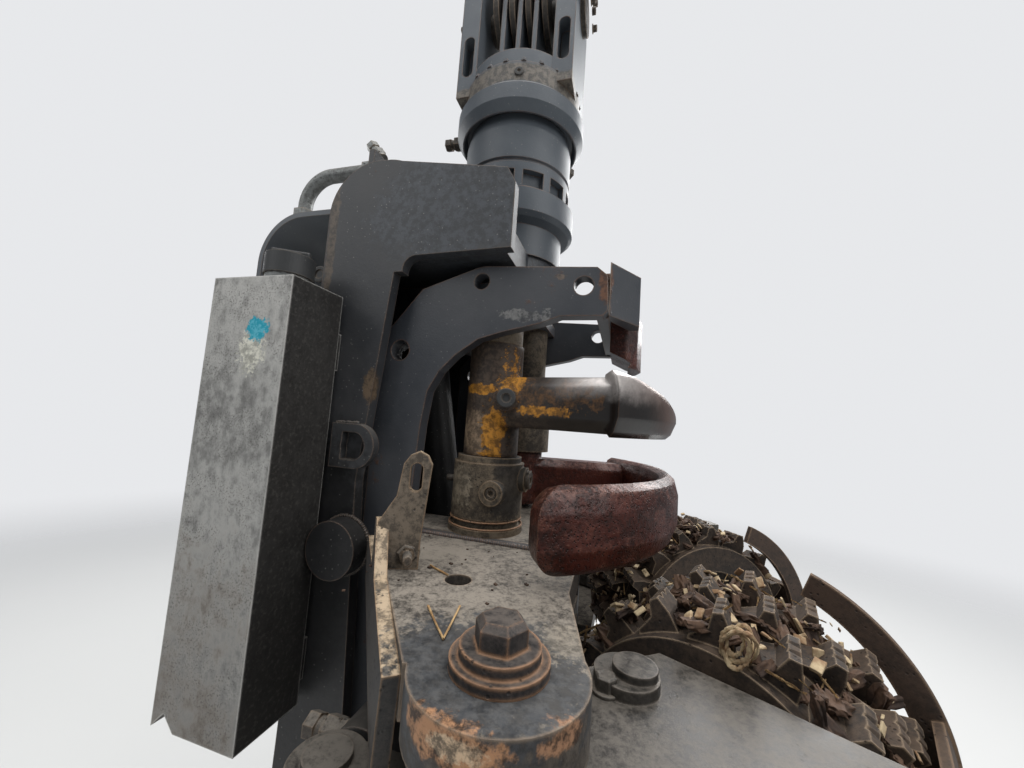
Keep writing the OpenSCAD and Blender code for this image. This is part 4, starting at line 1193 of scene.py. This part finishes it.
@dataclass
class RotatorFittings:
    """Bolts, plug and capped ports on the rotator, and grease nipples on the cross pin.

    Attributes:
        band_top: top of the band over the ring.
        band_r: radius of the band.
        cross: middle of the cross pin.
        pin_end: half length of the cross pin.
    """

    band_top: float = -0.426
    band_r: float = 0.121
    cross: float = -0.220
    pin_end: float = 0.128

    def round_band(self, proud: float, degrees: float, rise: float) -> tuple[Vector, Vector]:
        """A place round the band, proud of its face and above its top, and the way outward from it."""
        out = Vector((math.cos(math.radians(degrees)), math.sin(math.radians(degrees)), 0))
        return out * (self.band_r + proud) + (self.band_top + rise) * UP, out

    def build(self) -> None:
        """Models the fittings."""
        plug = Plug(0.017, 0.003, 0.007).one(*self.round_band(-0.001, -78.0, -0.022))
        Shop.fit([plug], "rotator_plug", RUBBER, "rotator_upper", "bare_steel")
        bolts = Bolts(0.0085).ring(Vector((0, 0, self.band_top)), UP, 0.1172, 22, 0.2)
        Shop.fit(bolts, "band_bolts", ROTATOR, "rotator_upper", "rotator_paint")
        ports = [PipeUnion(0.026).one(*self.round_band(0.006, turn, -0.055)) for turn in (60, 90, 120, 150, 180)]
        Shop.fit(ports, "rotator_ports", BARE, "rotator_upper", "bare_steel")
        for name, side in (("front", 1.0), ("back", -1.0)):
            axis = Vector((side, 0, 0))
            middle = Vector((side * (self.pin_end + 0.010), 0, self.cross))
            bolts = Bolts(0.012).ring(middle, axis, 0.028, 3, 0.5)
            bolts.append(Plug(0.014, 0.007, 0.004).one(middle, axis))
            Shop.fit(bolts, f"cross_pin_bolts_{name}", BARE, "rotator_upper", "bare_steel")


@dataclass
class TankFittings:
    """Cap's skirt and grip, filler neck, bracket bolts and drain plug of the tank.

    Attributes:
        cap: middle of the cap's foot.
        low: level of the tank's floor.
    """

    cap: Point = (-0.272, -0.280, -0.910)
    low: float = -1.530

    def build(self) -> None:
        """Models the fittings."""
        cap = Vector(self.cap)
        skirt = Shop.disc(48, 0.0352, 0.032, 0.015)
        Shop.edit(skirt, lambda face: abs(face.normal.z) > 0.9)
        bpy.ops.mesh.inset(thickness=0.002)
        bpy.ops.object.mode_set(mode="OBJECT")
        grip = Shop.seat(Shop.bar((0.056, 0.017, 0.012), 0.003), cap + 0.053 * UP, UP, 0.55)
        Shop.fit([Shop.seat(skirt, cap, UP), grip], "cap_skirt", RUBBER, "tilt", "cap_plastic")
        neck = Shop.seat(Shop.disc(48, 0.0325, 0.016), cap, UP)
        Shop.fit([neck], "filler_neck", PIPE, "tilt", "bare_steel")
        bolts = [Bolts(0.014).one(Vector((-0.232, -0.2299, level)), NEAR) for level in (-1.000, -1.470)]
        bolts.append(Plug(0.030, 0.008, 0.013).one(Vector((-0.285, -0.281, self.low)), -UP))
        Shop.fit(bolts, "tank_bolts", BARE, "tilt", "bare_steel")


@dataclass
class TiltFittings:
    """Welds, eyelet, bolts and pipe stub on the tilt frame and the hose cover.

    Attributes:
        face: distance of the side plates' outer faces from the middle.
        stop: middle of the round stop, along X and Z.
        stop_r: radius of the stop's weld.
        pin: the tilt pins' axis, along X and Z.
    """

    face: float = 0.220
    stop: tuple[float, float] = (-0.165, -1.296)
    stop_r: float = 0.043
    pin: tuple[float, float] = (-0.190, -1.700)

    def build(self) -> None:
        """Models the fittings."""
        y, turns = -self.face - 0.001, [index * math.tau / 24 for index in range(25)]
        x, z = self.stop
        lines = {
            "loop": [(-0.202, y, -1.180), (-0.202, y, -1.112), (-0.160, y, -1.111)],
            "stop": [(x + self.stop_r * math.cos(turn), y, z + self.stop_r * math.sin(turn)) for turn in turns],
        }
        for name, line in lines.items():
            Shop.pair([Weld(line, 0.0035).lay()], f"weld_{name}", PAINT, ("tilt", "tilt"), "painted_charcoal")
        hole = Plug(0.030, 0.003, 0.018).one(Vector((-0.300, -0.190, -0.852)), NEAR)
        Shop.fit([hole], "cover_eyelet", RUBBER, "tilt", "painted_charcoal")
        stub = PipeUnion(0.024).one(Vector((-0.234, -0.140, -0.605)), Vector((-0.62, 0, 0.78)))
        Shop.fit([stub], "pipe_stub", PIPE, "tilt", "bare_steel")
        bolts = [
            Bolts(0.018).one(Vector((-0.420, side * 0.190, level)), Vector((0, side, 0)), side + level)
            for side in (-1, 1) for level in (-0.95, -1.05)
        ]
        Shop.fit(bolts, "cover_bolts", BARE, "tilt", "painted_charcoal")
        pins = []
        for side in (-1.0, 1.0):
            middle = Vector((self.pin[0], side * (self.face + 0.014), self.pin[1]))
            pins += Bolts(0.016).ring(middle, Vector((0, side, 0)), 0.030, 3, 0.4)
        Shop.fit(pins, "tilt_pin_bolts", BARE, "tilt", "bare_steel")


@dataclass
class DeckFittings:
    """Nut on the tab, plugs and rings on the near bearing and knuckle, straw and crumbs on the deck.

    Attributes:
        deck: level of the deck.
        bearing: the near knife pin's axis.
    """

    deck: float = -1.272
    bearing: tuple[float, float] = (0.020, -0.106)

    def build(self) -> None:
        """Models the fittings."""
        self.nut()
        self.plugs()
        self.straw()
        self.crumbs()

    def nut(self) -> None:
        """Models the nut and its threaded end on the tab."""
        place, axis = Vector((-0.008, -0.309, self.deck + 0.016)), Vector((0.52, -0.85, 0.05)).normalized()
        thread = Shop.disc(20, 0.0055, 0.018, 0.015)
        Shop.edit(thread, looks_up)
        for width in (0.88, 1.13) * 4:
            bpy.ops.mesh.extrude_region_shrink_fatten(TRANSFORM_OT_shrink_fatten={"value": 0.0012})
            bpy.ops.transform.resize(value=(width, width, 1.0), center_override=(0, 0, 0))
        bpy.ops.object.mode_set(mode="OBJECT")
        nut = Bolts(0.021, 1.5).one(place, axis, 0.3)
        Shop.fit([nut, Shop.seat(thread, place, axis)], "tab_nut", BARE, "head", "rusty_steel")

    def plugs(self) -> None:
        """Models the bearing's plugs, nipple and two wire rings, and the plug on the knife's knuckle."""
        x, y = self.bearing
        pieces = [
            Plug(0.0196, 0.007, 0.0095).one(Vector((x + 0.026, y - 0.0535, self.deck + 0.068)), NEAR, 0.3),
            Plug(0.030, 0.006, 0.012).one(Vector((x + 0.067, y, self.deck + 0.086)), FRONT),
            Plug(0.011, 0.012, 0.004).one(Vector((x - 0.057, y - 0.010, self.deck + 0.078)), Vector((-1, -0.2, 0))),
        ]
        Shop.fit(pieces, "bearing_plugs", BARE, "head", "bare_steel")
        rings = [
            Shop.loop(radius, 0.0015, (64, 8), (x, y, self.deck + level))
            for level, radius in ((0.0115, 0.0605), (0.0215, 0.0585))
        ]
        Shop.fit(rings, "bearing_rings", WASHER, "head", "bare_steel")
        plug = Plug(0.030, 0.005, 0.015).one(Vector((0.0607, -0.1692, -1.0562)), Vector((0.242, -0.970, 0)))
        Shop.fit([plug], "knuckle_plug", RUBBER, "upper_knife_near", "knife_steel")

    def straw(self) -> None:
        """Models the straws that lie on the deck."""
        fork = (0.104, -0.437)
        lie = (((0.066, -0.392), fork), ((0.094, -0.380), fork), ((0.020, -0.300), (0.052, -0.318)))
        straws = []
        for index, ends in enumerate(lie):
            start, end = (Vector((*point, self.deck + 0.0016)) for point in ends)
            stalk = Shop.bar((0.0016, 0.0013, (end - start).length), 0.0, 2, 0.0006, index + 3)
            straws.append(Shop.seat(stalk, (start + end) / 2, (end - start).normalized()))
        Shop.fit(straws, "straws", STRAW, "head", "bare_steel")

    def crumbs(self) -> None:
        """Scatters crumbs of bark over the deck."""
        draw = random.Random(11)
        crumb = Shop.bar((0.005, 0.0035, 0.002), 0.0, 1, 0.0006, 5)
        moves = []
        for _ in range(30):
            place = Vector((draw.uniform(-0.06, 0.16), draw.uniform(-0.40, -0.19), self.deck + 0.0007))
            size = draw.uniform(0.25, 0.9)
            moves.append(Shop.placing(place, UP, draw.uniform(0, 6)) @ Matrix.Scale(size, 4))
        Shop.dress(Shop.copies(crumb, moves, "deck_crumbs"), BARK, "head", "bare_steel")


@dataclass
class ArmFittings:
    """Bolts on the roller arms.

    Attributes:
        top: level of the arms' upper plates.
        hub: middle of the near roller.
        turn: angle of the near roller's axis from +Y.
        web: distance of the arm's web from the roller's middle.
    """

    top: float = -1.318
    hub: Point = (0.367, -0.200, -1.4445)
    turn: float = -27.0
    web: float = 0.141

    def build(self) -> None:
        """Models the near arm's bolts and their mirror images."""
        cap = [Bolts(0.017).one(Vector((0.2315, -0.3725, self.top)), UP, 0.3)]
        turn = math.radians(-self.turn)
        axis = Vector((math.sin(turn), math.cos(turn), 0))
        ring = Bolts(0.016).ring(Vector(self.hub) - axis * self.web, -axis, 0.056, 8, 0.2)
        for name, pieces in (("cap_bolt", cap), ("motor_bolts", ring)):
            Shop.pair(pieces, name, ARM, ("roller_arm_near", "roller_arm_far"), "bare_steel")


@dataclass
class RollerDebris:
    """Chips, bark and fibres caught between one roller's lugs.

    Attributes:
        name: near or far.
        body: the roller's body.
        middle: of the roller.
        axis: of the roller.
        seed: of the scatter.
        drum_r: radius of the drum.
        lug_r: radius at the lugs' edges.
        half: half width of the strip that holds debris.
        curl_at: middle of the curl of fibre.
        curl_lean: the way the curl's loops face.
    """

    name: str
    body: str
    middle: Point
    axis: Point
    seed: int
    drum_r: float = 0.140
    lug_r: float = 0.171
    half: float = 0.094
    curl_at: Point = (0.3497, -0.3045, -1.284)
    curl_lean: Point = (0.32, 0.90, 0.10)

    def scatter(self, model: Piece, count: int, low: float, high: float, lift: float) -> Piece:
        """Spreads copies of a model over the drum.

        Args:
            model: the object, drawn along X.
            count: of copies.
            low: smallest scale.
            high: largest scale.
            lift: 0 for pieces on the drum, 1 for pieces at the lugs' edges.

        Returns:
            The joined copies.
        """
        draw = random.Random(self.seed + count)
        along = Vector(self.axis).normalized()
        side = along.orthogonal().normalized()
        moves = []
        for _ in range(count):
            turn = Matrix.Rotation(draw.uniform(0, math.tau), 3, along)
            out = turn @ side
            radius = self.drum_r + 0.002 + (self.lug_r - self.drum_r) * lift * draw.uniform(0.35, 1.0)
            place = Vector(self.middle) + along * draw.uniform(-self.half, self.half) + out * radius
            tilt = (out + Vector([draw.uniform(-0.7, 0.7) for _ in range(3)])).normalized()
            moves.append(Shop.placing(place, tilt, draw.uniform(0, 6)) @ Matrix.Scale(draw.uniform(low, high), 4))
        return Shop.copies(model, moves, "spread")

    def build(self) -> None:
        """Models the debris."""
        flat = self.scatter(Shop.bar((0.020, 0.012, 0.004), 0.0006, 1, 0.0012, 1), 220, 0.25, 0.85, 1.0)
        blocks = self.scatter(Shop.bar((0.012, 0.009, 0.006), 0.0006, 1, 0.0010, 2), 34, 0.4, 0.9, 1.0)
        bark = self.scatter(Shop.bar((0.032, 0.013, 0.006), 0.0, 3, 0.0030, 3), 330, 0.4, 1.15, 0.62)
        fibre = self.scatter(Shop.bar((0.046, 0.0016, 0.001), 0.0, 4, 0.0022, 4), 90, 0.3, 0.9, 0.9)
        kinds = {"chips": ([flat, blocks], CHIP), "bark": ([bark], BARK), "fibres": ([fibre], STRAW)}
        for kind, (pieces, finish) in kinds.items():
            Shop.fit(pieces, f"{kind}_{self.name}", finish, self.body, "bare_steel")

    def curl(self) -> None:
        """Models the curl of torn fibre that hangs on a lug: nested loops, each leaning another way."""
        draw = random.Random(self.seed)
        loops = []
        for radius in (0.012, 0.016, 0.020, 0.025):
            loop = Shop.loop(radius, 0.0026, (36, 6))
            Shop.edit(loop, lambda face: True)
            bpy.ops.transform.resize(value=(draw.uniform(0.5, 0.8), 1.0, 0.9))
            bpy.ops.transform.vertex_random(offset=0.0016, seed=self.seed)
            bpy.ops.object.mode_set(mode="OBJECT")
            lean = Vector(self.curl_lean) + Vector([draw.uniform(-0.3, 0.3) for _ in range(3)])
            place = Vector(self.curl_at) + Vector((draw.uniform(-0.003, 0.003), 0, -radius * 0.3))
            loops.append(Shop.seat(loop, place, lean.normalized(), 0.25))
        Shop.fit(loops, f"curl_{self.name}", CHIP, self.body, "bare_steel")


@dataclass
class FrameFittings:
    """Bolts, welds and capped ports on the head's frame.

    Attributes:
        face: distance of the side plates' outer faces from the middle.
    """

    face: float = 0.181

    def build(self) -> None:
        """Models the fittings."""
        self.arch()
        self.valves()
        self.contact()
        self.saw()

    def arch(self) -> None:
        """Welds the nose to the arch and the side plates to the deck."""
        seams = {
            "nose": [(0.2085, -0.1600, -0.862), (0.2095, -0.1600, -0.924)],
            "deck": [(-0.080, -self.face - 0.001, -1.2705), (0.150, -self.face - 0.001, -1.2705)],
        }
        for name, line in seams.items():
            Shop.pair([Weld(line, 0.0040).lay()], f"seam_{name}", PLATE, ("head", "head"), "worn_plate")

    def valves(self) -> None:
        """Models the ports and cover bolts of the valve cover."""
        ports = [
            PipeUnion(0.028).one(Vector((-0.190, -0.130 + 0.052 * column, -1.905 + 0.055 * row)), -FRONT, column)
            for row in range(2) for column in range(6)
        ]
        Shop.fit(ports, "valve_ports", BARE, "head", "bare_steel")
        bolts = [
            Bolts(0.012).one(Vector((x, -0.175, z)), NEAR, x + z) for x in (-0.178, -0.122) for z in (-1.942, -1.816)
        ]
        Shop.pair(bolts, "valve_bolts", BARE, ("head", "head"), "painted_charcoal")

    def contact(self) -> None:
        """Models the socket screws of the plates that touch the stem."""
        screws = [
            Plug(0.022, 0.0022, 0.010).one(Vector((x, y, z)), FRONT, y)
            for x, z in ((0.156, -1.494), (0.156, -1.342), (0.228, -1.900), (0.228, -1.800))
            for y in (-0.125, 0.125)
        ]
        Shop.fit(screws, "contact_screws", BARE, "head", "bare_steel")

    def saw(self) -> None:
        """Models the bolts and ports of the saw motor and the bolts of the saw box."""
        motor = Vector((0.060, 0.330, -1.944))
        bolts = Bolts(0.014).ring(motor, UP, 0.0655, 8, 0.2)
        bolts += [PipeUnion(0.028).one(motor + Vector((dx, -0.040, 0.107)), NEAR) for dx in (-0.016, 0.016)]
        Shop.fit(bolts, "saw_motor_bolts", BARE, "head", "black_paint")
        edge = [Bolts(0.012).one(Vector((x, y, -1.986)), UP, y) for x in (-0.090, 0.100) for y in (-0.42, -0.30)]
        Shop.fit(edge, "saw_box_bolts", BARE, "head", "painted_charcoal")


@dataclass
class CylinderFittings:
    """Gland bolts and two capped ports on one cylinder's barrel.

    Attributes:
        name: of the cylinder.
        body: the barrel's body.
        foot: middle of the barrel's eye.
        axis: the way the rod leaves it.
        length: of the barrel.
        radius: of the barrel.
        side: the way the ports stand.
        ports: distance of the ports from the eye and from the barrel's end.
        gland: distance of the gland's bolts from the barrel's rim.
    """

    name: str
    body: str
    foot: Point
    axis: Point
    length: float
    radius: float
    side: Point
    ports: tuple[float, float] = (0.075, 0.050)
    gland: float = 0.0052

    def build(self) -> None:
        """Models the gland's bolts and the ports."""
        axis, out, foot = Vector(self.axis).normalized(), Vector(self.side).normalized(), Vector(self.foot)
        pieces = Bolts(0.010).ring(foot + axis * (self.length - 0.0005), axis, self.radius - self.gland, 6, 0.3)
        for along in (self.ports[0], self.length - self.ports[1]):
            pieces.append(PipeUnion(0.026).one(foot + axis * along + out * (self.radius - 0.001), out))
        Shop.fit(pieces, f"{self.name}_fittings", BARE, self.body, "black_paint")


@dataclass
class Studio:
    """Camera, lamps and floor.

    Attributes:
        floor_z: level of the floor.
        eye: where the camera stands.
        right: the picture's right.
        up: the picture's up; not used.
        back: away from what the camera looks at.
        lens: focal length in millimetres on a 36 mm sensor.
        middle: the point that the lamps look at.
        sky: colour of the light from all round.
        sky_power: its strength.
        backdrop: colour that the camera sees behind the part.
        lamps: place, width and power of each lamp.
    """

    floor_z: float = -2.30
    eye: Point = (0.2376, -0.7469, -1.091)
    right: Point = (0.9594, 0.2739, 0.0694)
    up: Point = (-0.0404, -0.1100, 0.9933)
    back: Point = (0.2796, -0.9555, -0.0944)
    lens: float = 13.71
    middle: Point = (0.1, 0.0, -1.2)
    sky: Colour = (0.62, 0.66, 0.70)
    sky_power: float = 0.30
    backdrop: Colour = (0.80, 0.81, 0.83)
    lamps: tuple[tuple[Point, float, float], ...] = (
        ((0.4, -0.6, 3.2), 4.0, 185.0),
        ((-2.4, -3.0, 1.2), 2.4, 42.0),
        ((3.4, -1.4, 0.6), 2.4, 55.0),
        ((1.4, 3.2, 1.0), 2.6, 130.0),
        ((-3.2, 1.2, 0.2), 2.0, 40.0),
    )

    def camera(self) -> None:
        """Makes the camera of the photograph's view."""
        data = bpy.data.cameras.new("camera")
        data.sensor_width, data.lens = 36.0, self.lens
        data.clip_start, data.clip_end = 0.02, 60.0
        camera = bpy.data.objects.new("camera", data)
        bpy.context.scene.collection.objects.link(camera)
        back = Vector(self.back).normalized()
        right = (Vector(self.right) - Vector(self.right).dot(back) * back).normalized()
        up = back.cross(right)
        turn = Matrix((right, up, back)).transposed().to_4x4()
        camera.matrix_world = Matrix.Translation(Vector(self.eye)) @ turn
        bpy.context.scene.camera = camera

    def light(self) -> None:
        """Makes soft lamps and an even pale world."""
        for index, (place, size, power) in enumerate(self.lamps):
            data = bpy.data.lights.new(f"lamp_{index}", "AREA")
            data.energy, data.size = power, size
            lamp = bpy.data.objects.new(f"lamp_{index}", data)
            bpy.context.scene.collection.objects.link(lamp)
            lamp.location = place
            lamp.rotation_euler = (Vector(place) - Vector(self.middle)).to_track_quat("Z", "Y").to_euler()
        world = bpy.data.worlds.new("pale_room")
        bpy.context.scene.world = world
        world.use_nodes = True
        nodes, links = world.node_tree.nodes, world.node_tree.links
        nodes["Background"].inputs["Color"].default_value = (*self.sky, 1.0)
        nodes["Background"].inputs["Strength"].default_value = self.sky_power
        seen = nodes.new("ShaderNodeBackground")
        seen.inputs["Color"].default_value = (*self.backdrop, 1.0)
        path, blend = nodes.new("ShaderNodeLightPath"), nodes.new("ShaderNodeMixShader")
        links.new(path.outputs["Is Camera Ray"], blend.inputs[0])
        links.new(nodes["Background"].outputs[0], blend.inputs[1])
        links.new(seen.outputs[0], blend.inputs[2])
        links.new(blend.outputs[0], nodes["World Output"].inputs["Surface"])

    def floor(self) -> None:
        """Makes the floor under the head."""
        Shop.clear()
        bpy.ops.mesh.primitive_plane_add(size=60.0, location=(0, 0, self.floor_z))
        floor = bpy.context.object
        floor.name = "floor"
        floor.data.materials.append(FLOOR.material())

    def build(self) -> None:
        """Sets the studio up."""
        scene = bpy.context.scene
        scene.view_settings.view_transform = "Standard"
        self.camera()
        self.light()
        self.floor()


CAD_FINISHES: dict[str, Finish] = {
    "crane_link": BARE, "rotator_yoke": ROTATOR, "cross_pin": BARE, "rotator_motor": ROTATOR,
    "tilt_frame": PAINT, "tilt_pins": BARE, "oil_tank": ZINC, "tank_cap": RUBBER, "hose_cover": COVER,
    "elbow_pipe": PIPE, "tilt_barrel": BLACK, "tilt_rod": CHROME, "frame_sides": PLATE,
    "upper_deck": DECK, "lower_deck": DECK, "cross_plates": PLATE, "stem_plates": BARE, "arch_nose": PLATE,
    "fixed_knife": RED, "knife_sleeves": SLEEVE, "head_pins": WASHER, "guard_plates": GUARD, "knife_near": HORN,
    "knife_far": RED, "arm_near": ARM, "arm_far": ARM, "roller_guard_near": RIM, "roller_guard_far": RIM,
    "roller_near": DRUM, "roller_far": DRUM, "arm_barrel": BLACK, "arm_rod": CHROME, "rear_knife_near": RED,
    "rear_knife_far": RED, "rear_brackets": PLATE, "rear_barrel": BLACK, "rear_rod": CHROME,
    "inner_roller": BARE, "measuring_arm": BARE, "measuring_wheel": BARE, "saw_box": PAINT,
    "saw_motor": BLACK, "saw_bar": BARE, "saw_chain": BARE, "valve_cover": PAINT,
}


CYLINDERS = (
    CylinderFittings(
        "tilt_cylinder", "tilt_cylinder_barrel", (-0.185, 0.0, -0.905), (0.125, 0.0, -0.645), 0.520, 0.042, (0, -1, 0)
    ),
    CylinderFittings(
        "arm_cylinder", "arm_cylinder_barrel", (0.016, -0.450, -1.4205), (0, 1, 0), 0.450, 0.037, (-1, 0, 0)
    ),
    CylinderFittings(
        "rear_cylinder", "rear_cylinder_barrel", (-0.052, -0.252, -1.687), (0, 1, 0), 0.264, 0.030, (-1, 0, 0)
    ),
)


def main() -> None:
    """Dresses the part, one sub-assembly after another."""
    logging.basicConfig(level=logging.INFO, format="%(message)s")
    Studio().build()
    CadPieces(CAD_FINISHES).dress()
    RotatorFittings().build()
    TankFittings().build()
    TiltFittings().build()
    FrameFittings().build()
    DeckFittings().build()
    ArmFittings().build()
    near = RollerDebris("near", "feed_roller_near", (0.367, -0.200, -1.4445), (0.454, 0.891, 0.0), 21)
    near.build()
    near.curl()
    RollerDebris("far", "feed_roller_far", (0.367, 0.200, -1.4445), (0.454, -0.891, 0.0), 47).build()
    for cylinder in CYLINDERS:
        cylinder.build()


if __name__ == "__main__":
    main()
